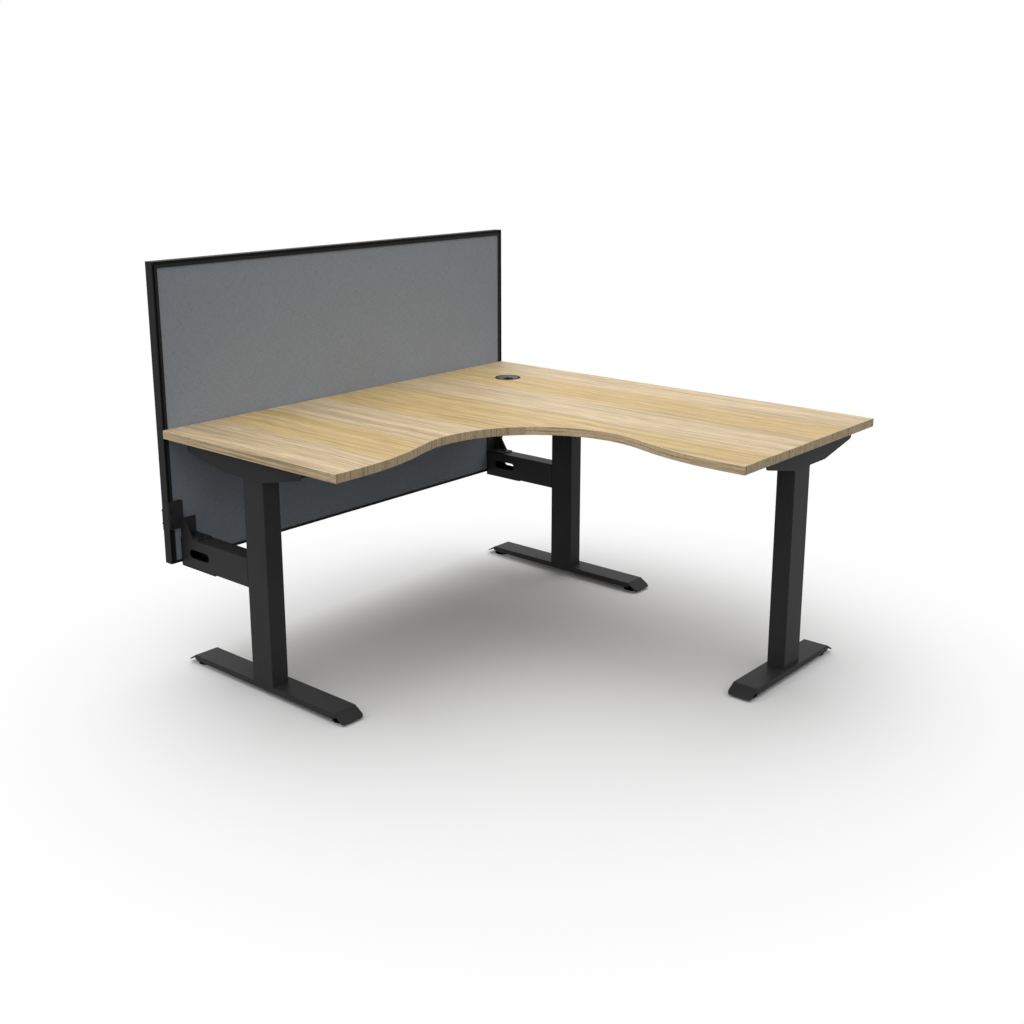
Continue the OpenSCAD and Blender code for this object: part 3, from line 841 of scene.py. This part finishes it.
@dataclass
class SubAssembly:
    """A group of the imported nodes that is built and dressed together."""

    finishes: Finishes
    plain: tuple[str, ...] = ()
    softened: tuple[str, ...] = ()
    edge_break: float = 0.5 * MM
    edge_steps: int = 2
    sharp_from: float = 24.0
    flat_under: float = 0.6

    def build(self) -> list[Item]:
        """Dresses the nodes that stay, and makes the pieces that stand in for the others.

        Returns:
            The pieces.
        """
        for node in (*self.plain, *self.softened):
            self.finishes.dress(node)
        return [self.soften(node) for node in self.softened]

    def soften(self, node: str) -> Item:
        """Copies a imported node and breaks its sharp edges.

        Args:
            node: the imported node.

        Returns:
            The copy, in the node's place.
        """
        shape = bmesh.new()
        shape.from_mesh(frame["nodes"][node].data)
        bmesh.ops.remove_doubles(shape, verts=shape.verts, dist=WELD)
        flat = math.radians(self.flat_under)
        bmesh.ops.dissolve_limit(shape, angle_limit=flat, verts=shape.verts, edges=shape.edges)
        made = Piece.place(node + "_dressed", shape, self.finishes.of(node))
        bevel = made.modifiers.new("broken_edges", "BEVEL")
        bevel.width = self.edge_break
        bevel.segments = self.edge_steps
        bevel.limit_method = "ANGLE"
        bevel.angle_limit = math.radians(self.sharp_from)
        bevel.miter_outer = "MITER_ARC"
        level = made.modifiers.new("flat_faces", "WEIGHTED_NORMAL")
        level.mode = "FACE_AREA"
        level.weight = 100
        level.keep_sharp = True
        return Piece.replace(made, node)


@dataclass
class Worktop(SubAssembly):
    """The board with its edge bands, whose corners are rounded as edging is."""

    plain: tuple[str, ...] = ("worktop_core",)
    softened: tuple[str, ...] = (
        "inner_edge_band",
        "left_end_band",
        "right_end_band",
        "screen_side_band",
        "back_edge_band",
    )


@dataclass
class Outlet(SubAssembly):
    """The cable outlet: its liner in the board, the cover and the shutter."""

    softened: tuple[str, ...] = ("grommet_liner", "grommet_cover", "grommet_shutter")
    edge_break: float = 0.3 * MM


@dataclass
class LegFrame(SubAssembly):
    """Brackets, columns, feet and rails, folded and sawn from sheet and tube."""

    plain: tuple[str, ...] = ("column_base_plates", "column_cap_plates", "glide_bushes")
    softened: tuple[str, ...] = (
        "left_top_bracket",
        "corner_top_bracket",
        "right_top_bracket",
        "left_column",
        "corner_column",
        "right_column",
        "left_foot",
        "corner_foot",
        "right_foot",
        "left_rail",
        "right_rail",
        "rail_end_plates",
    )
    edge_break: float = 0.7 * MM


@dataclass
class ScreenArms(SubAssembly):
    """The two arms with their caps, plates, brackets and clamps."""

    plain: tuple[str, ...] = ("arm_end_caps",)
    softened: tuple[str, ...] = (
        "left_arm",
        "corner_arm",
        "left_arm_plate",
        "corner_arm_plate",
        "left_screen_bracket",
        "corner_screen_bracket",
        "left_rear_clamp",
        "corner_rear_clamp",
    )
    edge_break: float = 0.7 * MM


class Face(Enum):
    """The screen's two cloth faces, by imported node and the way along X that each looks."""

    FRONT = ("front_fabric", 1.0)
    REAR = ("rear_fabric", -1.0)


@dataclass
class Screen(SubAssembly):
    """The frame's bars and the two cloth faces, stretched over the board and tucked in."""

    plain: tuple[str, ...] = ("screen_board", "screen_corner_keys", "front_fabric", "rear_fabric")
    softened: tuple[str, ...] = (
        "screen_top_bar",
        "screen_bottom_bar",
        "screen_left_bar",
        "screen_right_bar",
    )
    edge_break: float = 0.35 * MM
    crown: float = 0.5 * MM
    tuck: float = 9 * MM
    tuck_lines: tuple[float, ...] = (0.0, 0.25, 0.6)
    tuck_depth: float = 0.35 * MM
    rim_gap: float = 0.2 * MM
    wall: float = 0.9 * MM
    hem: float = 2 * MM
    across: int = 96
    up: int = 56

    def build(self) -> list[Item]:
        """Makes the bars and both cloth faces.

        Returns:
            The pieces.
        """
        return super().build() + [self.cloth(face) for face in Face]

    def cloth(self, face: Face) -> Item:
        """Makes one cloth face.

        Args:
            face: which of the two.

        Returns:
            The cloth.
        """
        node, side = face.value
        low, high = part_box(node)
        outer, inner = (high.x, low.x) if side > 0 else (low.x, high.x)
        rows = self.lines(low.z, high.z, self.up)
        columns = self.lines(low.y, high.y, self.across)
        shape = bmesh.new()
        grid = []
        for z in rows:
            line = []
            for y in columns:
                rim = min(y - columns[0], columns[-1] - y, z - rows[0], rows[-1] - z)
                u = (y - low.y) / (high.y - low.y)
                v = (z - low.z) / (high.z - low.z)
                x = inner + side * self.rim_gap
                if rim > 0:
                    x = outer - side * self.drop(rim, u, v)
                line.append(shape.verts.new((x, y, z)))
            grid.append(line)
        for under, over in zip(grid, grid[1:]):
            for i in range(len(columns) - 1):
                corners = (under[i], under[i + 1], over[i + 1], over[i])
                shape.faces.new(corners if side > 0 else corners[::-1])
        made = self.skin(node + "_cloth", shape)
        return Piece.replace(made, node)

    def lines(self, low: float, high: float, count: int) -> list[float]:
        """Places the grid's lines: close together in the slots and even between them.

        Args:
            low: where the cloth starts.
            high: where it ends.
            count: how many steps lie between the slots.

        Returns:
            The places.
        """
        start, end = low + self.tuck, high - self.tuck
        near = [self.tuck * share for share in self.tuck_lines]
        even = [start + (end - start) * i / count for i in range(count + 1)]
        return [*(low + d for d in near), *even, *(high - d for d in reversed(near))]

    def drop(self, rim: float, u: float, v: float) -> float:
        """Tells how far the cloth lies behind its highest point.

        Args:
            rim: the distance from the cloth's rim.
            u: the place across, from 0 to 1.
            v: the place up, from 0 to 1.

        Returns:
            The depth, in metres.
        """
        soft = min(1.0, rim / self.tuck)
        bow = math.sqrt(math.sin(math.pi * u) * math.sin(math.pi * v))
        return self.tuck_depth * (1 - soft) ** 2 + self.crown * (1 - bow)

    def skin(self, name: str, shape: Shape) -> Item:
        """Turns a skin into an object with the cloth's thickness inwards.

        Args:
            name: the piece's name.
            shape: the outer skin, which is freed.

        Returns:
            The object.
        """
        made = Piece.place(name, shape, self.finishes.made[Slot.CLOTH])
        thick = made.modifiers.new("thickness", "SOLIDIFY")
        thick.thickness = self.wall
        thick.offset = -1.0
        return made


@dataclass
class Glide:
    """A levelling glide: a moulded pad with grip ribs and a threaded stud with a hexagon.

    The pad's rings are in millimetres. The sole gives the inset from the rim and the height, the
    shoulder the share of the radius and the depth under the top, and the hub the radius and that
    depth.
    """

    name: str
    finishes: Finishes
    sole: Profile = (
        (3.2, 0),
        (2.8, 0.5),
        (2.0, 0.5),
        (1.6, 0),
        (0.7, 0.15),
        (0.15, 0.6),
        (0, 1.2),
        (0, 3.2),
        (0.6, 4.1),
    )
    shoulder: Profile = ((0.7, 0.3), (0.66, 0))
    hub: Profile = ((11.6, 0), (11.2, 0.5), (10.6, 0.5), (10.2, 0), (5.4, 0), (5.1, 0.3))
    fluted_rings: tuple[int, ...] = (7, 8, 9)
    smooth_under: float = 32.0
    ribs: int = 20
    rib_steps: int = 6
    flute: float = 0.022
    pitch: float = 1.5 * MM
    thread_sides: int = 18
    stud_radius: float = 5 * MM
    hexagon: float = 9.5 * MM
    hexagon_height: float = 3.9 * MM
    lift: float = 0.05 * MM

    def build(self) -> list[Item]:
        """Makes the pad and the stud.

        Returns:
            The two pieces.
        """
        for part in ("_pad", "_stud"):
            self.finishes.dress(self.name + part)
        return [self.pad(), self.stud()]

    def pad(self) -> Item:
        """Makes the pad from its node's box, ribbed round the rim.

        Returns:
            The pad.
        """
        node = self.name + "_pad"
        low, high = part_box(node)
        r = (high.x - low.x) / 2
        top = high.z
        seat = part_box(self.name + "_stud")[0].z
        profile = [
            (0, 0),
            *((r - inset * MM, z * MM) for inset, z in self.sole),
            *((r * share, top - under * MM) for share, under in self.shoulder),
            *((radius * MM, top - under * MM) for radius, under in self.hub),
            (self.hub[-1][0] * MM, seat),
            (0, seat),
        ]

        def fluted(ring: int, k: int) -> float:
            """Cuts a shallow flute between the ribs, on the rings of the rim.

            Args:
                ring: the ring's number.
                k: the side's number.

            Returns:
                The factor on the radius.
            """
            if ring not in self.fluted_rings:
                return 1.0
            return 1 - self.flute * max(0.0, math.cos(2 * math.pi * k / self.rib_steps)) ** 2

        shape = bmesh.new()
        Piece.lathe(shape, profile, self.ribs * self.rib_steps, fluted)
        bmesh.ops.translate(shape, verts=shape.verts, vec=self.axis(low, high))
        material = self.finishes.of(node)
        made = Piece.finish(node + "_moulding", shape, material, self.smooth_under)
        return Piece.replace(made, node)

    def stud(self) -> Item:
        """Makes the stud from its node's box: thread, hexagon and a chamfered collar.

        Returns:
            The stud.
        """
        node = self.name + "_stud"
        low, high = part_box(node)
        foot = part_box(self.name + "_pad")[1].z + self.lift
        shape = bmesh.new()
        Piece.threaded(shape, self.stud_radius, low.z, high.z, self.pitch, self.thread_sides)
        rings, factor = Fastener.hexagon_rings(self.hexagon, foot, foot + self.hexagon_height)
        Piece.lathe(shape, rings, HEXAGON_SIDES, factor)
        bmesh.ops.translate(shape, verts=shape.verts, vec=self.axis(low, high))
        made = Piece.finish(node + "_thread", shape, self.finishes.of(node))
        return Piece.replace(made, node)

    @staticmethod
    def axis(low: Vector, high: Vector) -> Vector:
        """The point on the floor under the middle of a box.

        Args:
            low: the box's lowest corner.
            high: its highest corner.

        Returns:
            The point.
        """
        return Vector(((low.x + high.x) / 2, (low.y + high.y) / 2, 0))


@dataclass(frozen=True)
class Fastener:
    """One kind of bolt or screw, its head below the origin and its shank along +Z."""

    shank: float
    head: float
    head_height: float
    pitch: float
    washer: float = 0.4 * MM

    @staticmethod
    def hexagon_rings(radius: float, z0: float, z1: float) -> tuple[Profile, Swell]:
        """A hexagon with chamfered corners, as rings for a lathe of HEXAGON_SIDES.

        Args:
            radius: the radius to the corners.
            z0: the lower face.
            z1: the upper face.

        Returns:
            The rings and the factor on their radius.
        """
        flat = radius * math.cos(math.pi / 6)
        face, chamfer = 0.99 * flat, 0.08 * radius
        profile = [
            (0, z0),
            (face, z0),
            (radius, z0 + chamfer),
            (radius, z1 - chamfer),
            (face, z1),
            (0, z1),
        ]

        def factor(ring: int, k: int) -> float:
            """Brings a ring in to the hexagon's flats.

            Args:
                ring: the ring's number.
                k: the side's number.

            Returns:
                The factor on the radius.
            """
            if ring not in (2, 3):
                return 1.0
            a = (2 * math.pi * k / HEXAGON_SIDES) % (math.pi / 3) - math.pi / 6
            return flat / math.cos(a) / radius

        return profile, factor

    def bolt(self, length: float, nut_at: float | None = None, nut: float = 0.0) -> Shape:
        """A hexagon bolt with its washer face, and its nut.

        Args:
            length: the shank's length.
            nut_at: where the nut starts on the shank, if it has one.
            nut: the nut's height.

        Returns:
            The shape.
        """
        shape = bmesh.new()
        Piece.threaded(shape, self.shank, 0.0, length, self.pitch, BOLT_SIDES)
        rings, factor = self.hexagon_rings(self.head, -self.head_height, -self.washer)
        Piece.lathe(shape, rings, HEXAGON_SIDES, factor)
        rim = 0.97 * self.head * math.cos(math.pi / 6)
        washer = [(0, -self.washer), (rim, -self.washer), (rim, 0), (0, 0)]
        Piece.lathe(shape, washer, HEXAGON_SIDES)
        if nut_at is not None:
            rings, factor = self.hexagon_rings(self.head, nut_at, nut_at + nut)
            Piece.lathe(shape, rings, HEXAGON_SIDES, factor)
        return shape

    def screw(self, length: float) -> Shape:
        """A pan-head screw with a six-lobed socket.

        Args:
            length: the shank's length.

        Returns:
            The shape.
        """
        shape = bmesh.new()
        Piece.threaded(shape, self.shank, 0.0, length, self.pitch, SCREW_SIDES)
        r, h = self.head, self.head_height
        turns = [math.pi / 12 * i for i in range(5)]
        dome = [(r * math.cos(a), -h * (0.35 + 0.65 * math.sin(a))) for a in turns]
        socket = [(r * 0.42, -h * 0.99), (r * 0.4, -h * 0.45), (0, -h * 0.4)]
        rings = [(0, 0), (r * 0.98, 0), (r, -h * 0.08), *dome, *socket]
        bottom = len(rings) - 2

        def lobed(ring: int, k: int) -> float:
            """Gives the socket its six lobes.

            Args:
                ring: the ring's number.
                k: the side's number.

            Returns:
                The factor on the radius.
            """
            return 0.8 + 0.2 * math.cos(12 * math.pi * k / SOCKET_SIDES) if ring == bottom else 1.0

        Piece.lathe(shape, rings, SOCKET_SIDES, lobed)
        return shape


@dataclass
class FastenerSet:
    """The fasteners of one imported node, of one kind or a few, placed by geometry nodes."""

    node: str
    material: Material
    kinds: Kinds

    def build(self) -> Item:
        """Places the fasteners and puts the result in the node's place.

        Returns:
            The plain mesh of the whole set.
        """
        models = [
            Piece.finish(f"{self.node}_model_{i}", source, self.material)
            for i, (source, _) in enumerate(self.kinds)
        ]
        holder = self.points()
        tree = self.tree()
        modifier = holder.modifiers.new("fasteners", "NODES")
        modifier.node_group = tree
        sockets = {s.name: s.identifier for s in tree.interface.items_tree if s.in_out == "INPUT"}
        modifier[sockets["Size"]] = 1.0
        for i, model in enumerate(models):
            modifier[sockets[f"Fastener {i + 1}"]] = model
        bpy.context.view_layer.update()
        graph = bpy.context.evaluated_depsgraph_get()
        mesh = bpy.data.meshes.new_from_object(holder.evaluated_get(graph), depsgraph=graph)
        made = linked(self.node + "_detailed", mesh)
        for spent in (holder, *models):
            bpy.data.objects.remove(spent)
        LOG.info("%s: %d fasteners", made.name, sum(len(places) for _, places in self.kinds))
        return Piece.replace(made, self.node)

    def points(self) -> Item:
        """Makes a point for each fastener, with its turn and its kind.

        Returns:
            The points.
        """
        spots = [(at, axis, i) for i, (_, places) in enumerate(self.kinds) for at, axis in places]
        mesh = bpy.data.meshes.new(self.node + "_points")
        mesh.from_pydata([tuple(at) for at, _, _ in spots], [], [])
        turn = mesh.attributes.new("turn", "FLOAT_VECTOR", "POINT")
        for i, (_, axis, _) in enumerate(spots):
            turn.data[i].vector = UP.rotation_difference(axis).to_euler()
        kind = mesh.attributes.new("kind", "INT", "POINT")
        for i, (_, _, number) in enumerate(spots):
            kind.data[i].value = number
        return linked(self.node + "_set", mesh)

    def tree(self) -> bpy.types.NodeTree:
        """Makes the node tree that sets a fastener of the right kind on each point.

        Returns:
            The node tree, with a size and each kind's model as its inputs.
        """
        tree = bpy.data.node_groups.new(self.node + "_tree", "GeometryNodeTree")
        new, link, face = tree.nodes.new, tree.links.new, tree.interface
        face.new_socket("Points", in_out="INPUT", socket_type="NodeSocketGeometry")
        face.new_socket("Size", in_out="INPUT", socket_type="NodeSocketFloat")
        for i in range(len(self.kinds)):
            face.new_socket(f"Fastener {i + 1}", in_out="INPUT", socket_type="NodeSocketObject")
        face.new_socket("Result", in_out="OUTPUT", socket_type="NodeSocketGeometry")
        entry, leave = new("NodeGroupInput"), new("NodeGroupOutput")
        join = new("GeometryNodeJoinGeometry")
        turn, kind = (new("GeometryNodeInputNamedAttribute") for _ in range(2))
        turn.data_type, kind.data_type = "FLOAT_VECTOR", "INT"
        turn.inputs["Name"].default_value, kind.inputs["Name"].default_value = "turn", "kind"
        for i in range(len(self.kinds)):
            model, put = new("GeometryNodeObjectInfo"), new("GeometryNodeInstanceOnPoints")
            same = new("FunctionNodeCompare")
            same.data_type, same.operation = "INT", "EQUAL"
            whole = [socket for socket in same.inputs if socket.type == "INT"]
            whole[1].default_value = i
            link(kind.outputs["Attribute"], whole[0])
            link(entry.outputs[f"Fastener {i + 1}"], model.inputs["Object"])
            link(entry.outputs["Points"], put.inputs["Points"])
            link(same.outputs["Result"], put.inputs["Selection"])
            link(model.outputs["Geometry"], put.inputs["Instance"])
            link(turn.outputs["Attribute"], put.inputs["Rotation"])
            link(entry.outputs["Size"], put.inputs["Scale"])
            link(put.outputs["Instances"], join.inputs["Geometry"])
        real, paint = new("GeometryNodeRealizeInstances"), new("GeometryNodeSetMaterial")
        paint.inputs["Material"].default_value = self.material
        link(join.outputs["Geometry"], real.inputs["Geometry"])
        link(real.outputs["Geometry"], paint.inputs["Geometry"])
        link(paint.outputs["Geometry"], leave.inputs["Result"])
        return tree


@dataclass
class Fasteners:
    """All the bolts and screws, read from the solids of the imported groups."""

    finishes: Finishes
    m8: Fastener = Fastener(4 * MM, 7.5 * MM, 5.3 * MM, 1.25 * MM)
    m6: Fastener = Fastener(3 * MM, 5.7 * MM, 4 * MM, 1.0 * MM)
    m5: Fastener = Fastener(2.5 * MM, 4.5 * MM, 3 * MM, 0.8 * MM)
    wood: Fastener = Fastener(2.25 * MM, 4.5 * MM, 3 * MM, 1.8 * MM)
    nut_limit: float = 10 * MM

    def build(self) -> list[Item]:
        """Makes every group.

        Returns:
            The groups.
        """
        return [
            self.column_bolts(),
            self.arm_bolts(),
            self.clamp_bolts(),
            self.rail_bolts(),
            self.worktop_screws(),
        ]

    def group(self, node: str, kinds: Kinds) -> Item:
        """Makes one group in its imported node's place.

        Args:
            node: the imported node.
            kinds: each kind's shape and its places.

        Returns:
            The group.
        """
        self.finishes.dress(node)
        return FastenerSet(node, self.finishes.of(node), kinds).build()

    def column_bolts(self) -> Item:
        """Makes the bolts through the plates in the columns' ends, heads outwards.

        Returns:
            The group.
        """
        solids = self.solids("column_bolts")
        middle = sum(low.z for low, _ in solids) / len(solids)
        head = self.m8.head_height
        places = []
        for low, high in solids:
            way = UP if low.z < middle else DOWN
            places.append((self.seat(low, high, way, head), way))
        low, high = solids[0]
        return self.group("column_bolts", [(self.m8.bolt(high.z - low.z - head), places)])

    def arm_bolts(self) -> Item:
        """Makes the bolts of the arms: those from above and the slightly shorter ones from below.

        Returns:
            The group.
        """
        solids = self.solids("arm_bolts")
        middle = sum(low.z + high.z for low, high in solids) / 2 / len(solids)
        head = self.m8.head_height
        kinds = []
        for way in (DOWN, UP):
            own = [(low, high) for low, high in solids if (low.z - middle) * way.z < 0]
            bolts = [(low, high) for low, high in own if high.z - low.z > self.nut_limit]
            nut_low, nut_high = next(pair for pair in own if pair not in bolts)
            places = [(self.seat(low, high, way, head), way) for low, high in bolts]
            start = places[0][0].z
            length = bolts[0][1].z - bolts[0][0].z - head
            nut_at = min(abs(nut_low.z - start), abs(nut_high.z - start))
            kinds.append((self.m8.bolt(length, nut_at, nut_high.z - nut_low.z), places))
        return self.group("arm_bolts", kinds)

    def clamp_bolts(self) -> Item:
        """Makes the bolts that clamp the screen, heads in front and nuts behind.

        Returns:
            The group.
        """
        solids = self.solids("clamp_bolts")
        bolts = [(low, high) for low, high in solids if high.x - low.x > self.nut_limit]
        nut_low, nut_high = next(pair for pair in solids if pair not in bolts)
        heads = [high.x - self.m5.head_height for _, high in bolts]
        places = [
            (Vector((x, (low.y + high.y) / 2, (low.z + high.z) / 2)), BACK)
            for x, (low, high) in zip(heads, bolts)
        ]
        length = heads[0] - bolts[0][0].x
        shape = self.m5.bolt(length, heads[0] - nut_high.x, nut_high.x - nut_low.x)
        return self.group("clamp_bolts", [(shape, places)])

    def rail_bolts(self) -> Item:
        """Makes the bolts at the rails' ends, each with its head towards the rail's middle.

        Returns:
            The group.
        """
        rails = {0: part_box("right_rail"), 1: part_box("left_rail")}
        head = self.m6.head_height
        places = []
        length = 0.0
        for low, high in self.solids("rail_bolts"):
            size, point = high - low, (low + high) / 2
            axis = max(range(3), key=lambda i: size[i])
            way = 1.0 if point[axis] > sum(corner[axis] for corner in rails[axis]) / 2 else -1.0
            point[axis] = (low if way > 0 else high)[axis] + way * head
            direction = Vector((0, 0, 0))
            direction[axis] = way
            places.append((point, direction))
            length = size[axis] - head
        return self.group("rail_bolts", [(self.m6.bolt(length), places)])

    def worktop_screws(self) -> Item:
        """Makes the screws that go up into the board.

        Returns:
            The group.
        """
        solids = self.solids("worktop_screws")
        head = self.wood.head_height
        places = [(self.seat(low, high, UP, head), UP) for low, high in solids]
        low, high = solids[0]
        return self.group("worktop_screws", [(self.wood.screw(high.z - low.z - head), places)])

    @staticmethod
    def seat(low: Vector, high: Vector, way: Vector, head: float) -> Vector:
        """Finds where the head of an upright bolt ends and its shank starts.

        Args:
            low: the lowest corner of its box.
            high: the highest corner.
            way: which way the shank points.
            head: the head's height.

        Returns:
            The point.
        """
        z = low.z + head if way.z > 0 else high.z - head
        return Vector(((low.x + high.x) / 2, (low.y + high.y) / 2, z))

    @staticmethod
    def solids(node: str) -> Boxes:
        """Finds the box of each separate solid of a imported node, in the mesh's own order.

        Args:
            node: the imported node.

        Returns:
            The lowest and highest corner of each.
        """
        shape = bmesh.new()
        shape.from_mesh(frame["nodes"][node].data)
        bmesh.ops.remove_doubles(shape, verts=shape.verts, dist=WELD)
        left, boxes = set(shape.verts), []
        for start in shape.verts:
            if start not in left:
                continue
            left.remove(start)
            stack, seen = [start], []
            while stack:
                vert = stack.pop()
                seen.append(vert.co.copy())
                for edge in vert.link_edges:
                    other = edge.other_vert(vert)
                    if other in left:
                        left.remove(other)
                        stack.append(other)
            low = Vector(min(c[i] for c in seen) for i in range(3))
            high = Vector(max(c[i] for c in seen) for i in range(3))
            boxes.append((low, high))
        shape.free()
        return boxes


@dataclass(frozen=True)
class Studio:
    """The photograph's camera, a white floor that fades out, a soft sky and one broad lamp."""

    place: tuple[float, float, float] = (2.43788, -2.87119, 1.60403)
    tilt: float = 75.51
    turn: float = 40.64
    focal: float = 45.54
    sensor: float = 36.0
    clip_end: float = 100.0
    shift: tuple[float, float] = (-0.00172, -0.05317)
    seen: Colour = (0.93, 0.93, 0.93)
    bounced: Colour = (0.37, 0.37, 0.37)
    fade: tuple[float, float] = (0.75, 1.8)
    floor_half: float = 40.0
    level: float = 0.2
    lean: Colour = (-0.05, -0.13, 0.92)
    lamp: float = 78.0
    lamp_size: float = 5.0
    lamp_place: tuple[float, float, float] = (-1.9, 0.9, 3.9)

    def build(self) -> None:
        """Sets up everything round the object."""
        scene = bpy.context.scene
        scene.view_settings.view_transform = "Standard"
        self.camera(scene)
        self.sky(scene)
        self.floor()
        self.light()

    def camera(self, scene: bpy.types.Scene) -> None:
        """Places the camera as it was solved from the photograph.

        Args:
            scene: the scene.
        """
        data = bpy.data.cameras.new("camera")
        data.sensor_width = self.sensor
        data.lens = self.focal
        data.shift_x, data.shift_y = self.shift
        data.clip_end = self.clip_end
        made = linked("camera", data)
        made.location = self.place
        made.rotation_euler = (math.radians(self.tilt), 0.0, math.radians(self.turn))
        scene.camera = made

    def sky(self, scene: bpy.types.Scene) -> None:
        """Makes plain white for the camera and reflections, and soft light mostly from above.

        Args:
            scene: the scene.
        """
        world = bpy.data.worlds.new("sky")
        world.use_nodes = True
        tree = world.node_tree
        new, link = tree.nodes.new, tree.links.new
        light, path = tree.nodes["Background"], new("ShaderNodeLightPath")
        ray = new("ShaderNodeTexCoord")
        lean, above = new("ShaderNodeVectorMath"), new("ShaderNodeMath")
        seen, plain = new("ShaderNodeMath"), new("ShaderNodeMath")
        lean.operation, above.operation = "DOT_PRODUCT", "ADD"
        seen.operation, plain.operation = "MAXIMUM", "MAXIMUM"
        lean.inputs[1].default_value = self.lean
        above.inputs[1].default_value = self.level
        link(ray.outputs["Generated"], lean.inputs[0])
        link(lean.outputs["Value"], above.inputs[0])
        link(path.outputs["Is Camera Ray"], seen.inputs[0])
        link(path.outputs["Is Glossy Ray"], seen.inputs[1])
        link(seen.outputs[0], plain.inputs[0])
        link(path.outputs["Is Transmission Ray"], plain.inputs[1])
        strength = new("ShaderNodeMix")
        strength.data_type = "FLOAT"
        link(plain.outputs[0], strength.inputs[0])
        link(above.outputs[0], strength.inputs[2])
        strength.inputs[3].default_value = 1.0
        light.inputs["Color"].default_value = (1, 1, 1, 1)
        link(strength.outputs[0], light.inputs["Strength"])
        scene.world = world

    def floor(self) -> None:
        """Makes a wide floor that takes the shadow, fades out and throws little light back."""
        shape = bmesh.new()
        bmesh.ops.create_grid(shape, x_segments=2, y_segments=2, size=self.floor_half)
        g = Graph("white_floor")
        path = g.node("ShaderNodeLightPath").outputs
        through = g.maths("MAXIMUM", path["Is Glossy Ray"], path["Is Transmission Ray"])
        looked_at = g.maths("MAXIMUM", path["Is Camera Ray"], through)
        colour = g.mix(looked_at, self.bounced, self.seen)
        g.set(Roughness=1.0, Specular_IOR_Level=0.0, Base_Color=colour)
        away = g.node("ShaderNodeVectorMath", {0: g.object}, operation="LENGTH").outputs["Value"]
        glow = {"Color": (1.0, 1.0, 1.0), "Strength": looked_at}
        white = g.node("ShaderNodeEmission", glow).outputs[0]
        share = g.span(away, *self.fade)
        fade = g.node("ShaderNodeMixShader", {0: share, 1: g.shader.outputs[0], 2: white})
        g.put(g.tree.nodes["Material Output"].inputs["Surface"], fade.outputs[0])
        Piece.finish("floor", shape, g.material)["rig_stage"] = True

    def light(self) -> None:
        """Hangs one broad lamp above, behind and left, which gives the shadow its middle."""
        data = bpy.data.lights.new("overhead", "AREA")
        data.shape = "RECTANGLE"
        data.size, data.size_y = self.lamp_size, self.lamp_size
        data.energy = self.lamp
        linked("overhead", data).location = self.lamp_place


def report_size(label: str, sizes: dict[str, list[list[float]]]) -> None:
    """Notes the object's box under a label.

    Args:
        label: when it is measured.
        sizes: where it goes.
    """
    low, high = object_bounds()
    sizes[label] = [list(low), list(high)]


def main() -> None:
    """Builds the studio, the finishes and the sub-assemblies, in order."""
    logging.basicConfig(level=logging.INFO)
    sizes: dict[str, list[list[float]]] = {}
    report_size("frame", sizes)
    Studio().build()
    finishes = Finishes()
    finishes.build()
    glides = [Glide(name, finishes) for name in GLIDES]
    assemblies = (
        Worktop(finishes),
        Outlet(finishes),
        LegFrame(finishes),
        ScreenArms(finishes),
        Screen(finishes),
        *glides,
        Fasteners(finishes),
    )
    for assembly in assemblies:
        for piece in assembly.build():
            LOG.info("%s: %s", type(assembly).__name__, piece.name)
    report_size("dressed", sizes)


if __name__ == "__main__":
    main()
